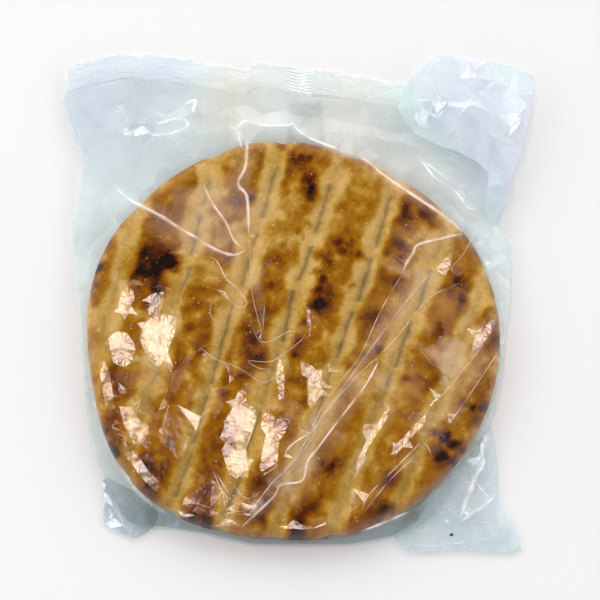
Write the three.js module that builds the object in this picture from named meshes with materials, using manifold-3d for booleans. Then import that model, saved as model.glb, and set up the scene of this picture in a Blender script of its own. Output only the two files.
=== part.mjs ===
// A pita bread sealed in its clear flow-wrapped film bag, lying flat with the bag's back seam down.
// Millimetres, +Z up. The origin is the middle of the bread's underside, on the resting surface.
// +X runs to the right across the bag and +Y towards its crimped end seal.

import * as THREE from 'three';
import { mergeVertices } from 'three/addons/utils/BufferGeometryUtils.js';
import Module from 'manifold-3d';

// ---------------------------------------------------------------- driving dimensions

// the bread
const breadRadius = 95.5; // mean radius
const breadThickness = 9.6; // on top of a ridge
const outlineWaves = [
  // how far out of round the dough was left, and where each bulge lies
  { bulges: 2, size: 1.1, turn: -15 },
  { bulges: 3, size: 1.4, turn: -17 },
  { bulges: 4, size: 0.6, turn: 157 },
  { bulges: 5, size: 1.0, turn: 72 },
  { bulges: 6, size: 0.5, turn: -116 },
];
const rimProfile = [
  // the crust's rim from the underside up: how far in from the outline, and how high
  { inset: 3.2, height: 0 },
  { inset: 1.0, height: 1.0 },
  { inset: 0.1, height: 2.8 },
  { inset: 0.2, height: 4.8 },
  { inset: 1.6, height: 6.8 },
  { inset: 4.0, height: 8.2 },
  { inset: 8.0, height: 9.4 },
  { inset: 14.0, height: 12.0 },
];
const rimSpokes = 132;
const domeHeight = 20; // well above the bread, so that only its ridges and grooves show there
const slabUnderside = -1;

// the griddle's grooves, numbered from the left
const grooveCount = 7;
const grooveSpacing = 27.8; // across the bread's middle
const middleGroove = -3; // where the fourth groove crosses the middle
const grooveLean = 0.32; // sideways run for each millimetre up, at the middle groove
const grooveFan = 0.03; // each next groove leans this much more
const grooveHalfWidth = 5.2;
const grooveDepth = 1.5;
const rimNotch = 1.3; // how far a groove bites into the outline where it runs out
const notchSharpness = 2;
const scoreHalfWidth = 0.7; // the thin dashed cut along each groove's bottom
const scoreDepth = 1.2;
const scoreLength = 23;
const scoreGap = 5.5;
const scoreStagger = 9.5; // each groove's dashes start this much further along
const rowSpacing = 5.8;
const crumbSwells = [
  // the gentle unevenness of the ridges: height, and the length of each wave across and along
  { size: 0.3, across: 68, along: 82, start: 0.7 },
  { size: 0.25, across: -75, along: 61, start: 1.4 },
  { size: 0.22, across: 36, along: -48, start: 2.9 },
];

// the film bag
const filmStack = 0.8; // the films, their creases and the air between them at the edge
const underGap = 0.15; // the lower film just clears the surface beside the bread
const shoulderInset = 3.5; // where the top film leaves the bread
const shoulderHeight = 7.4;
const sealWidth = 12.5; // the crimped band across the bag's end
const edgeStep = 9; // longest stretch of outline between two points
const filmDroop = 1.4; // how fast the top film falls away from the bread
const floorShare = 0.16; // the part of a film span that lies on the surface
const hemShareMost = 0.3; // a narrow span keeps this much of itself for its flat edge
const rippleHeight = 1.0;
const rippleSpan = 30; // a film span this wide ripples in full
const filmRipples = [
  { size: 0.6, count: 17, slant: 5, start: 0 },
  { size: 0.4, count: 29, slant: -3, start: 1 },
];
const slopeShares = [0, 0.16, 0.36, 0.62];

// The bag's outline, anticlockwise: x, y and the height of its edge, one stretch after another.
const rightFold = [
  [92, -38.5, 3.4], [96, -27, 4], [100.5, 3, 4.4], [103.5, 30, 4.2], [103.5, 45, 3.6], [97.5, 55.5, 4],
];
const topRightEar = [
  [105, 68.5, 5], [104.5, 78.5, 7], [110, 88.5, 9], [113, 103, 9], [117.5, 129, 6], [114.5, 133, 5],
  [87, 138.5, 6], [71.5, 141, 5], [64, 134, 8], [58.5, 126.5, 6],
];
const endSealEdge = [
  [53, 125.5, 4.6], [30, 130.5, 4.4], [10, 132, 4.2], [-15, 137, 4.2], [-22, 132.5, 4.2],
  [-28, 134.5, 4.2], [-49, 138.5, 4.2], [-76, 141.5, 4],
];
const topLeftEar = [
  [-93, 138.5, 3.8], [-107, 134, 3.4], [-109.5, 116, 3.4], [-104.5, 103, 4], [-99, 89, 4.6],
];
const leftFold = [
  [-100, 71, 4], [-103, 57, 3.4], [-101.5, 36, 3.6], [-99, 8.5, 4], [-95.5, -19, 4], [-92, -44, 3.4],
  [-86, -62, 2.8],
];
const bottomLeftEar = [
  [-84.5, -75.5, 1.6], [-85.5, -81, 1.2], [-81.5, -87, 1.1], [-75, -90.5, 1.1], [-67, -90, 1.2],
  [-64, -87.4, 2],
];
const bottomFold = [
  [-52, -88.6, 3], [-32, -93, 3], [-17.5, -95.6, 3.2], [5.5, -96.6, 3.2], [28.5, -95.6, 3],
  [47.5, -92, 2.4],
];
const bottomRightEar = [
  [50, -95, 1.3], [55, -98, 1.1], [100.5, -98.5, 1.1], [105, -97, 1.1], [103.5, -91, 1.1],
  [97, -79.5, 1.3], [95, -74, 1.8], [95.5, -60, 2.6],
];
const bagOutline = [
  ...rightFold, ...topRightEar, ...endSealEdge, ...topLeftEar,
  ...leftFold, ...bottomLeftEar, ...bottomFold, ...bottomRightEar,
];

// The film's main folds where it is drawn over the bread: x and y along each crest, then its height.
const foldHalfWidth = 1.5;
const foldRoot = 3.4; // a fold's foot lies deeper than the grooves, so that no pocket is left
const foldStart = 0.3; // a crest starts and ends this far below the surface
const foldSteps = 14;
const rimFall = 0.35; // how steeply a fold runs down over the bread's rim
const folds = [
  { crest: [[-25, 78], [-21, 66], [-19, 48], [-18, 30], [-14, 6]], height: 1.6 },
  { crest: [[-60, 62], [-38, 57], [-25, 50], [-28, 62], [-41, 78]], height: 1.4 },
  { crest: [[20, 93], [42, 84], [61, 70], [77, 53]], height: 1.5 },
  { crest: [[82, 56], [58, 47], [42, 22], [12, -35], [-10, -66], [-22, -84]], height: 1.5 },
  { crest: [[80, 32], [57, 19], [34, -4], [12, -34], [-4, -58]], height: 1.3 },
  { crest: [[68, -24], [50, -48], [38, -72], [34, -86]], height: 1.2 },
];

// ---------------------------------------------------------------- closed solids and cuts

const wasm = await Module();
wasm.setup();

function toSolid(geometry) {
  const bare = geometry.clone();
  bare.deleteAttribute('normal');
  bare.deleteAttribute('uv');
  const merged = mergeVertices(bare, 1e-4);
  return new wasm.Manifold(new wasm.Mesh({
    numProp: 3,
    vertProperties: new Float32Array(merged.attributes.position.array),
    triVerts: new Uint32Array(merged.index.array),
  }));
}

function toGeometry(solid) {
  const mesh = solid.getMesh();
  const geometry = new THREE.BufferGeometry();
  geometry.setAttribute('position', new THREE.Float32BufferAttribute(mesh.vertProperties, 3));
  geometry.setIndex(new THREE.Uint32BufferAttribute(mesh.triVerts, 1));
  geometry.computeVertexNormals();
  return geometry;
}

// A body skinned over closed rings of points, given from the underside up and anticlockwise
// from above. A flat or shallow fan about its own middle point closes each end.
function loftRings(rings, lowMiddle, highMiddle) {
  const around = rings[0].length;
  const points = [...rings.flat(), lowMiddle, highMiddle];
  const low = rings.length * around;
  const high = low + 1;
  const faces = [];
  for (let k = 0; k < around; k++) {
    const next = (k + 1) % around;
    faces.push(low, next, k);
    for (let ring = 1; ring < rings.length; ring++) {
      const below = (ring - 1) * around;
      const above = ring * around;
      faces.push(below + k, below + next, above + next);
      faces.push(below + k, above + next, above + k);
    }
    const last = (rings.length - 1) * around;
    faces.push(high, last + k, last + next);
  }
  const geometry = new THREE.BufferGeometry();
  geometry.setAttribute('position', new THREE.Float32BufferAttribute(points.flat(), 3));
  geometry.setIndex(faces);
  return geometry;
}

// ---------------------------------------------------------------- the bread's shape in plan

// The grooves fan out a little, so a point is placed by the line that runs along them through
// it: "across" is where that line meets the bread's middle, y = 0.
const fanRate = grooveFan / grooveSpacing;
const leanAt = (across) => grooveLean + fanRate * (across - middleGroove);
const acrossAt = (x, y) => (x - (grooveLean - fanRate * middleGroove) * y) / (1 + fanRate * y);

function nearestGroove(across) {
  const number = Math.round((across - middleGroove) / grooveSpacing);
  const reach = (grooveCount - 1) / 2;
  return Math.min(reach, Math.max(-reach, number));
}

function offGroove(across) {
  return across - middleGroove - nearestGroove(across) * grooveSpacing;
}

function outlineRadius(angle) {
  let radius = breadRadius;
  for (const wave of outlineWaves) {
    radius += wave.size * Math.cos(wave.bulges * angle - THREE.MathUtils.degToRad(wave.turn));
  }
  const x = radius * Math.cos(angle);
  const y = radius * Math.sin(angle);
  const off = offGroove(acrossAt(x, y)) / grooveHalfWidth;
  const facing = Math.abs(Math.sin(angle)); // a groove that grazes the side leaves no notch
  return radius - rimNotch * facing * Math.exp(-notchSharpness * off * off);
}

// ---------------------------------------------------------------- the bread

function swell(x, y) {
  let height = 0;
  for (const wave of crumbSwells) {
    height += wave.size * Math.sin(2 * Math.PI * (x / wave.across + y / wave.along) + wave.start);
  }
  return height;
}

function crustHeight(across, x, y) {
  const off = offGroove(across);
  const valley = Math.abs(off) < grooveHalfWidth
    ? 0.5 + 0.5 * Math.cos(Math.PI * off / grooveHalfWidth) : 0;
  const number = nearestGroove(across) + grooveCount;
  const pitch = scoreLength + scoreGap;
  const along = (y + 2 * breadRadius + number * scoreStagger) % pitch;
  const cut = Math.abs(off) < scoreHalfWidth / 2 && along < scoreLength ? scoreDepth : 0;
  return breadThickness - grooveDepth * valley - cut + swell(x, y) * (1 - valley);
}

// A slab with the grooved top, wider and deeper than the bread, which is then trimmed to it.
function griddledSlab() {
  const reach = (grooveCount + 1) / 2;
  const steps = [-grooveSpacing / 2, -grooveHalfWidth, -scoreHalfWidth, 0, scoreHalfWidth, grooveHalfWidth];
  const columns = [];
  for (let number = -reach; number <= reach; number++) {
    for (const step of steps) {
      columns.push(middleGroove + number * grooveSpacing + step);
    }
  }
  const half = breadRadius + rowSpacing; // the slab reaches past the bread on every side
  const rows = Math.ceil(2 * half / rowSpacing);
  const pointAt = (column, row, height) => {
    const y = -half + 2 * half * row / rows;
    const across = columns[column];
    const x = across + leanAt(across) * y;
    return [x, y, height ?? crustHeight(across, x, y)];
  };
  const points = [];
  for (const height of [undefined, slabUnderside]) {
    for (let column = 0; column < columns.length; column++) {
      for (let row = 0; row <= rows; row++) {
        points.push(pointAt(column, row, height));
      }
    }
  }
  const layer = columns.length * (rows + 1);
  const at = (column, row) => column * (rows + 1) + row;
  const faces = [];
  for (let column = 1; column < columns.length; column++) {
    for (let row = 1; row <= rows; row++) {
      const [a, b] = [at(column - 1, row - 1), at(column, row - 1)];
      const [d, c] = [at(column - 1, row), at(column, row)];
      faces.push(a, b, c, a, c, d);
      faces.push(layer + a, layer + c, layer + b, layer + a, layer + d, layer + c);
    }
  }
  const wall = (from, to) => {
    faces.push(from, to + layer, to, from, from + layer, to + layer);
  };
  const lastColumn = columns.length - 1;
  for (let column = 1; column <= lastColumn; column++) {
    wall(at(column - 1, 0), at(column, 0));
    wall(at(column, rows), at(column - 1, rows));
  }
  for (let row = 1; row <= rows; row++) {
    wall(at(0, row), at(0, row - 1));
    wall(at(lastColumn, row - 1), at(lastColumn, row));
  }
  const geometry = new THREE.BufferGeometry();
  geometry.setAttribute('position', new THREE.Float32BufferAttribute(points.flat(), 3));
  geometry.setIndex(faces);
  return geometry;
}

// The bread's outline with its rounded rim, domed high above the ridges.
function rimmedDisc() {
  const rings = rimProfile.map(({ inset, height }) => {
    const ring = [];
    for (let spoke = 0; spoke < rimSpokes; spoke++) {
      const angle = 2 * Math.PI * spoke / rimSpokes;
      const radius = outlineRadius(angle) - inset;
      ring.push([radius * Math.cos(angle), radius * Math.sin(angle), height]);
    }
    return ring;
  });
  return loftRings(rings, [0, 0, 0], [0, 0, domeHeight]);
}

// ---------------------------------------------------------------- the film bag

function outlinePoints() {
  const points = [];
  bagOutline.forEach((corner, index) => {
    const next = bagOutline[(index + 1) % bagOutline.length];
    const length = Math.hypot(next[0] - corner[0], next[1] - corner[1]);
    const pieces = Math.ceil(length / edgeStep);
    for (let piece = 0; piece < pieces; piece++) {
      const share = piece / pieces;
      points.push(corner.map((value, axis) => value + share * (next[axis] - value)));
    }
  });
  return points;
}

function ripple(angle, share) {
  let height = 0;
  for (const wave of filmRipples) {
    height += wave.size * Math.sin(wave.count * angle + wave.slant * share + wave.start);
  }
  return height;
}

// The film round the bread: from its shoulder the top film slopes down to the bag's edge, and
// the lower film comes up to meet it there.
function filmSkirt() {
  const edge = outlinePoints();
  const spokes = edge.map(([x, y, height]) => {
    const angle = Math.atan2(y, x);
    const reach = Math.hypot(x, y);
    const start = outlineRadius(angle) - shoulderInset;
    const span = reach - start;
    const hem = Math.min(sealWidth, hemShareMost * span);
    return { angle, start, span, hem, height };
  });
  const ringAt = (shareOf, heightOf) => spokes.map((spoke) => {
    const share = shareOf(spoke);
    const radius = spoke.start + share * spoke.span;
    return [radius * Math.cos(spoke.angle), radius * Math.sin(spoke.angle), heightOf(spoke, share)];
  });
  const topHeight = (spoke, share) => {
    const slope = spoke.height + (shoulderHeight - spoke.height) * (1 - share) ** filmDroop;
    const strength = Math.min(1, spoke.span / rippleSpan) * Math.sin(Math.PI * share);
    return slope + rippleHeight * strength * ripple(spoke.angle, share);
  };
  const underHeight = (spoke, share) =>
    underGap + (spoke.height - filmStack - underGap) * share ** 2;
  const hemShare = (spoke) => 1 - spoke.hem / spoke.span;
  const hemHeight = (spoke, share) =>
    Math.max(topHeight(spoke, share), underHeight(spoke, share) + filmStack);
  const slope = slopeShares.map((share) => ringAt(() => share, topHeight));
  const rings = [
    ringAt(() => 0, () => filmStack),
    ringAt(() => floorShare, () => underGap),
    ringAt(hemShare, underHeight),
    ringAt(() => 1, (spoke) => spoke.height - filmStack),
    ringAt(() => 1, (spoke) => spoke.height),
    ringAt(hemShare, hemHeight),
    ...slope.reverse(),
  ];
  return loftRings(rings, [0, 0, filmStack], [0, 0, breadThickness / 3]);
}

// A fold is a low tent-shaped ridge that follows its crest over the bread and dies out at its ends.
function filmFold({ crest, height }) {
  const curve = new THREE.CatmullRomCurve3(crest.map(([x, y]) => new THREE.Vector3(x, y, 0)));
  const sections = [];
  for (let step = 0; step <= foldSteps; step++) {
    const share = step / foldSteps;
    const { x, y } = curve.getPointAt(share);
    const along = curve.getTangentAt(share);
    const rise = Math.sqrt(Math.sin(Math.PI * share));
    const inset = outlineRadius(Math.atan2(y, x)) - Math.hypot(x, y);
    const overRim = shoulderHeight + rimFall * (inset - shoulderInset);
    const surface = Math.min(crustHeight(acrossAt(x, y), x, y), overRim);
    const side = [-along.y * foldHalfWidth, along.x * foldHalfWidth];
    sections.push([
      [x + side[0], y + side[1], surface - foldRoot],
      [x, y, surface + height * rise - foldStart],
      [x - side[0], y - side[1], surface - foldRoot],
    ]);
  }
  const points = sections.flat();
  const faces = [0, 2, 1];
  for (let step = 0; step < foldSteps; step++) {
    const from = step * 3;
    for (let corner = 0; corner < 3; corner++) {
      const next = (corner + 1) % 3;
      faces.push(from + corner, from + next, from + 3 + next);
      faces.push(from + corner, from + 3 + next, from + 3 + corner);
    }
  }
  const last = foldSteps * 3;
  faces.push(last, last + 1, last + 2);
  const geometry = new THREE.BufferGeometry();
  geometry.setAttribute('position', new THREE.Float32BufferAttribute(points.flat(), 3));
  geometry.setIndex(faces);
  return geometry;
}

function sealedBag() {
  let solid = toSolid(griddledSlab()).intersect(toSolid(rimmedDisc()));
  solid = solid.add(toSolid(filmSkirt()));
  for (const fold of folds) {
    solid = solid.add(toSolid(filmFold(fold)));
  }
  return toGeometry(solid);
}

const film = new THREE.MeshStandardMaterial({ color: 0xc9a463, roughness: 0.25, metalness: 0 });
const bag = new THREE.Mesh(sealedBag(), film);
bag.name = 'bag';

const baggedPita = new THREE.Group();
baggedPita.add(bag);

export default baggedPita;
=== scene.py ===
# A griddled pita bread sealed in its clear flow-wrapped film bag, lying flat with the back seam down.
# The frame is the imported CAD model's: metres, +Z up, the origin under the middle of the bread on the
# surface that it lies on. Places and sizes below are in millimetres and are scaled where they are used.

import math
import random

import bmesh
import bpy
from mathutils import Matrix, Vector, geometry, noise


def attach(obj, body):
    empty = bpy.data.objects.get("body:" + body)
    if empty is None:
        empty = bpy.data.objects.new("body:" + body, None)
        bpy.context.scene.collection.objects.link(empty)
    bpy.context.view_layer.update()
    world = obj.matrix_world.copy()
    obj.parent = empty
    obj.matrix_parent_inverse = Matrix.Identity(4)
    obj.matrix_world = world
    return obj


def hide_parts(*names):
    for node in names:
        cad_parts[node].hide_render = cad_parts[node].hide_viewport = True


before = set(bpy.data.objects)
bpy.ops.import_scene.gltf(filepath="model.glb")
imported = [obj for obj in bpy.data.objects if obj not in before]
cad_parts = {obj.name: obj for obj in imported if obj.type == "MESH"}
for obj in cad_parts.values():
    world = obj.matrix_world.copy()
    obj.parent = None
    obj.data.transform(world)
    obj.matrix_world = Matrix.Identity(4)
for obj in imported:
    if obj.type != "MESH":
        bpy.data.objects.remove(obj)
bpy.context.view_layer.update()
MM = 0.001


# ------------------------------------------------------------------------------------- the view
# The photo looks down on the pack, 12 degrees off straight down and from the side of its folded end.
CAMERA_TARGET = Vector((4.6, 18.3, 5.0))
CAMERA_DISTANCE = 720.0
CAMERA_LEAN = math.radians(12)
CAMERA_LENS = 92.5
camera_spot = CAMERA_TARGET + CAMERA_DISTANCE * Vector((0, -math.sin(CAMERA_LEAN), math.cos(CAMERA_LEAN)))

camera_data = bpy.data.cameras.new("camera")
camera_data.lens = CAMERA_LENS
camera_data.sensor_width = 36
camera_data.clip_end = 20
camera = bpy.data.objects.new("camera", camera_data)
camera.location = camera_spot * MM
camera.rotation_euler = (CAMERA_LEAN, 0, 0)
bpy.context.collection.objects.link(camera)
bpy.context.scene.camera = camera


# ------------------------------------------------------------------------------------- the pita
# A round of flat dough, baked on a ribbed griddle: seven pale grooves with a thin dark dashed score
# in each, soft ridges between them that are toasted in patches, and a rounded rim.
BREAD_RADIUS = 95.5
BREAD_THICKNESS = 9.6
# The slow waves of its outline: how many go round the rim, their height, and their turn in degrees.
OUTLINE_WAVES = ((2, 1.1, -15), (3, 1.4, -17), (4, 0.6, 157), (5, 1.0, 72), (6, 0.5, -116))
GROOVE_COUNT = 7
GROOVE_SPACING = 27.8
MIDDLE_GROOVE = -3.0
GROOVE_LEAN = 0.32
GROOVE_FAN_RATE = 0.03 / 27.8
GROOVE_HALF_WIDTH = 5.2
GROOVE_DEPTH = 1.5
RIM_NOTCH = 1.3
NOTCH_SHARPNESS = 2
# The swells of its ridges: their height, their length across and along, and where they start.
CRUMB_SWELLS = ((0.3, 68, 82, 0.7), (0.25, -75, 61, 1.4), (0.22, 36, -48, 2.9))
SCORE_HALF_WIDTH = 0.95
SCORE_HALO = 1.8
SCORE_DEPTH = 0.45
SCORE_TICK = 2.2  # the short cross mark at a dash's ends reaches this far to each side
HALO_STAIN = 0.48
LINE_STAIN = 0.16
TICK_STAIN = 0.3
UNDERSIDE = 0.65
RIM_MIDDLE = 4.4
RIM_BAND = 0.5
# The dashes of the scores: the groove's number, the y that the dash runs from and to, how far off the
# groove's middle line it starts and ends, and how dark it is.
DASHES = (
    (-3, 15, 33, 0, 0, .35), (-3, -14, 5, 0, 0, .3), (-2, 63, 75, 1.5, 1.1, .7),
    (-2, 38.5, 58.5, 2.4, 1.4, .9), (-2, 15.5, 33.5, 2, 3.4, .9), (-2, -11, 11, 2.2, 2.6, .4),
    (-2, -22, -15, 1, 2.4, .7), (-2, -35.5, -28, 1.4, 2, .6), (-2, -56, -43, .7, 1.4, .5),
    (-1, 57, 82.5, 1, .9, .8),
    (-1, 23, 49.5, 1.4, .7, .7), (-1, -22, 15.5, 1.1, -.3, .9), (-1, -49.5, -27.5, 1.1, .7, .8),
    (-1, -74, -53.5, .3, 2.1, .8), (0, 49.5, 73.5, -.9, -1.4, .8), (0, 26.5, 43.5, -1.4, -.6, .9),
    (0, -2, 22, .5, -2.6, 1), (0, -28, -7, .5, -.7, .6), (0, -52.5, -33, .3, .7, .9),
    (0, -81, -62.5, .8, 1, .9), (1, 42.5, 67.5, .6, -1.1, .8), (1, 16.5, 37.5, 1, .3, .9),
    (1, -10, 12, .1, .2, 1), (1, -42.5, -16, .7, -.2, .7), (1, -75, -50, .7, .3, .4),
    (2, 37, 60, 1, .4, .5), (2, 12, 32, 1.7, .8, .9), (2, -14.5, 7.5, 1.5, .5, .9),
    (2, -33.5, -17, 1.5, .4, .8), (2, -62, -40, .5, .5, .4), (3, -22, -8, -.4, 1.2, .4), (3, 2, 20, 0, 0, .3),
)


def unit(value):
    """The value kept between 0 and 1."""
    return min(1.0, max(0.0, value))


def groove_place(x, y):
    """The number of the nearest groove, and how far off its middle line a point lies."""
    across = (x - (GROOVE_LEAN - GROOVE_FAN_RATE * MIDDLE_GROOVE) * y) / (1 + GROOVE_FAN_RATE * y)
    reach = (GROOVE_COUNT - 1) // 2
    number = max(-reach, min(reach, round((across - MIDDLE_GROOVE) / GROOVE_SPACING)))
    return number, across - MIDDLE_GROOVE - number * GROOVE_SPACING


def bread_outline(angle):
    """The bread's radius in that direction."""
    radius = BREAD_RADIUS
    for bulges, size, turn in OUTLINE_WAVES:
        radius += size * math.cos(bulges * angle - math.radians(turn))
    off = groove_place(radius * math.cos(angle), radius * math.sin(angle))[1] / GROOVE_HALF_WIDTH
    return radius - RIM_NOTCH * abs(math.sin(angle)) * math.exp(-NOTCH_SHARPNESS * off * off)


def swell(x, y):
    """The gentle unevenness of the ridges."""
    return sum(size * math.sin(2 * math.pi * (x / across + y / along) + start)
               for size, across, along, start in CRUMB_SWELLS)


def valley(off):
    """1 on a groove's middle line and 0 beside it."""
    if abs(off) >= GROOVE_HALF_WIDTH:
        return 0.0
    return 0.5 + 0.5 * math.cos(math.pi * off / GROOVE_HALF_WIDTH)


def groove_x(number, off, y):
    """The x of a point that lies off a groove's middle line, at that y."""
    across = MIDDLE_GROOVE + number * GROOVE_SPACING + off
    return across * (1 + GROOVE_FAN_RATE * y) + (GROOVE_LEAN - GROOVE_FAN_RATE * MIDDLE_GROOVE) * y


scores = [((groove_x(number, off_low, low), low), (groove_x(number, off_high, high), high), dark)
          for number, low, high, off_low, off_high, dark in DASHES]


def score(x, y):
    """The gap to the nearest dash, how dark its stain is there, and how deep its thin cut."""
    nearest, stain, cut = 9.0, 0.0, 0.0
    for (low_x, low_y), (high_x, high_y), dark in scores:
        if not low_y - 2 < y < high_y + 2:
            continue
        share = (y - low_y) / (high_y - low_y)
        waver = 0.7 * noise.noise(Vector((y / 6, low_x, 0))) + 0.25 * noise.noise(Vector((y / 1.7, low_x, 3)))
        side = x - (low_x + (high_x - low_x) * share) - waver
        if abs(side) > 5:
            continue
        end = min(y - low_y, high_y - y)
        nearest = min(nearest, abs(side) if end > -1 else 9.0)
        fade = unit(0.5 + end / 1.2)
        width = 1 + 0.6 * noise.noise(Vector((y / 5, low_x, 4.0)))
        line = max(0.0, 1 - (side / (SCORE_HALF_WIDTH * width)) ** 2)
        halo = math.exp(-(side / (SCORE_HALO * width)) ** 2)
        tick = max(0.0, 1 - (side / SCORE_TICK) ** 2) * math.exp(-((end - 0.3) / 0.55) ** 2)
        stroke = dark * fade * (HALO_STAIN * halo + LINE_STAIN * line) * width
        stain = max(stain, stroke, TICK_STAIN * dark * tick)
        cut = max(cut, dark * fade * line, 0.4 * dark * tick)
    return nearest, stain, cut


def rounded(depth, width):
    """How much of its full height a rounded rim has reached at that depth in from the outline."""
    share = max(0.0, 1 - depth / width)
    return (1 - share ** 2.2) ** (1 / 2.2)


# Where the crust is toasted: broad patches and small darker spots, each x, y, radius and strength.
TOAST_PATCHES = (
    (-65, 35, 16, .75), (-80, 41, 7, .35), (-58, 17, 9, .4), (-52, 65, 10, .22), (-38, 75, 8, .22),
    (-66, 56, 8, .4), (-25, 63, 7, .5), (-13, 83, 8, .4), (-17, 65, 7, .3), (-1, 83, 7, .6),
    (9, 70, 6, .6), (-27, 39, 7, .35), (-42, 17, 8, .4), (-38, -4, 7, .45), (-46, -11, 7, .35),
    (-18, -4, 11, .6), (-13, 17, 9, .4), (-23, -20, 8, .35), (-10, 35, 7, .3), (12, 17, 9, .7),
    (5, -4, 8, .4), (5, -23, 7, .4), (26, 44, 9, .35), (15, 35, 7, .45), (22, 72, 8, .4), (30, 24, 6, .25),
    (54, 58, 11, .45), (50, 41, 8, .4), (46, 27, 7, .45), (33, 10, 8, .45), (25, -11, 7, .35),
    (39, -4, 6, .3), (80, 24, 8, .45), (77, 17, 7, .4), (69, 3, 8, .5), (62, -18, 7, .35),
    (88, 8, 7, .35), (93, -4, 6, .3), (68, -50, 11, .55), (50, -66, 7, .45), (43, -77, 8, .5),
    (32, -82, 7, .35), (18, -58, 7, .35), (9, -75, 9, .45), (2, -86, 9, .5), (-11, -82, 8, .45),
    (-13, -66, 7, .35), (-30, -48, 7, .4), (-34, -66, 9, .55), (-38, -82, 9, .55), (-50, -77, 7, .35),
    (-59, -55, 12, .6), (-63, -66, 9, .5), (-73, -57, 7, .5), (-80, -43, 7, .45), (-76, -23, 7, .4),
    (-85, -13, 6, .35), (-88, 3, 6, .3), (-57, -29, 7, .4), (-64, -25, 6, .3), (-89, 22, 6, .4),
    (-84, 34, 6, .35), (-2, -43, 6, .35), (13, -32, 6, .3), (-18, -39, 5, .35), (87, -34, 7, .35),
)
BURNT_SPOTS = (
    (-55.5, 35.5, 5.2, 1), (-65.5, 36.5, 7.5, .5), (-72.5, 31.5, 6.5, .4), (-60.5, 24.5, 6.5, .4),
    (-70, 41, 4.5, .3), (-90, 33, 3, .6), (-78, -23.5, 2.5, .5), (-72, -26.5, 2.5, .45),
    (-89.5, -19.5, 2.5, .4), (-79, -53.5, 3, .9), (-84, -44, 2.5, .6), (-76.5, -48.5, 3, .5),
    (-63.5, -68.5, 3, .5), (-66.5, -63.5, 2.5, .5), (-37, -87, 3.5, .6), (-42.5, -83.5, 2.5, .5),
    (3, -89.5, 3.5, .7), (44.5, -78.5, 3.5, .55), (57.5, -68, 2.5, .4), (66, -44.5, 2.6, .75),
    (70.5, -46.5, 2.8, .95), (74.5, -49.5, 2.4, .7), (70, -55.5, 2.6, .95), (74.5, -57.5, 2.4, .8),
    (79.5, -51, 2, .5), (79.5, -31.5, 2.4, .6), (84, -33, 2.6, .8), (89, -33.5, 2.4, .5),
    (92, -22, 2, .4), (13, 39, 2.5, .6), (11.5, 31, 2, .6), (15.5, 27, 2.5, .6), (12.5, 15, 3.5, .8),
    (12, 22, 3, .55), (6.5, 6, 2.5, .5), (3, -1.5, 2.5, .5), (3, -8.5, 2, .45), (23, 45, 2.5, .5),
    (28, 44.5, 2.5, .5), (24.5, 40.5, 2.5, .5), (33, 38.5, 2.5, .55), (29, 24, 2, .45), (3, 51, 2, .5),
    (8, 54, 2, .45), (6.5, 47.5, 1.5, .4), (-9, 25, 2, .45), (4.5, 85, 4, .5), (9, 86, 3, .5),
    (8, 76, 3, .5), (11, 70.5, 3.5, .5), (8.5, 65.5, 2, .45), (-4.5, 93, 3.5, .45),
    (-30, 80.5, 2.5, .5), (-18, 66.5, 2.5, .6), (27.5, 84, 3.5, .4), (54, 61.5, 3.5, .4),
    (63.5, 58.5, 4, .4), (68.5, 54.5, 3.5, .4), (51.5, 43.5, 3, .5), (51.5, 37, 2.5, .5),
    (80, 26.5, 3, .4), (80, 17.5, 3, .45), (88.5, 7.5, 3, .45), (41.5, -5.5, 2.5, .35),
    (53, -20, 2, .4), (39, -27.5, 2, .35), (34.5, -8.5, 2, .35), (14.5, -58.5, 2, .45),
    (17.5, -62, 2, .45), (19, -59.5, 1.5, .4), (-30.5, -26.5, 2.5, .5), (-45.5, -31.5, 2, .4),
    (5.5, -24, 2, .4), (-46.5, 4, 2.5, .5), (-34.5, 20.5, 2, .35),
)


BARE_CRUST = 0.08
DARKER_LOW_SIDE = 0.08  # the crust is this much darker towards the folded end, at the bottom
DARKER_FROM = 30
DARKER_SPAN = 60
RIDGE_TOAST = 0.21
RIDGE_START = 3.2  # this far off a groove's middle line the crust starts to darken
RIDGE_RISE = 5.2
RIDGE_WANDER = 4.4
RIM_TOAST = 0.12
RIM_TOAST_WIDTH = 2.8
PATCH_WANDER = 3.0  # how far the patches' edges stray, broadly and finely
PATCH_FRAY = 0.9
PATCH_MOST = 0.75
SPOT_FRAY = 1.8
SPOT_EDGE = 1.1
BLOTCH_TOAST = 0.6
FULL_TOAST = 0.42  # past this the crust darkens more slowly
SLOWER = 0.55
TOAST_SEED = 1795547629
noise.seed_set(TOAST_SEED)  # noise vectors are drawn at random, and this keeps them the same in every run


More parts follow.
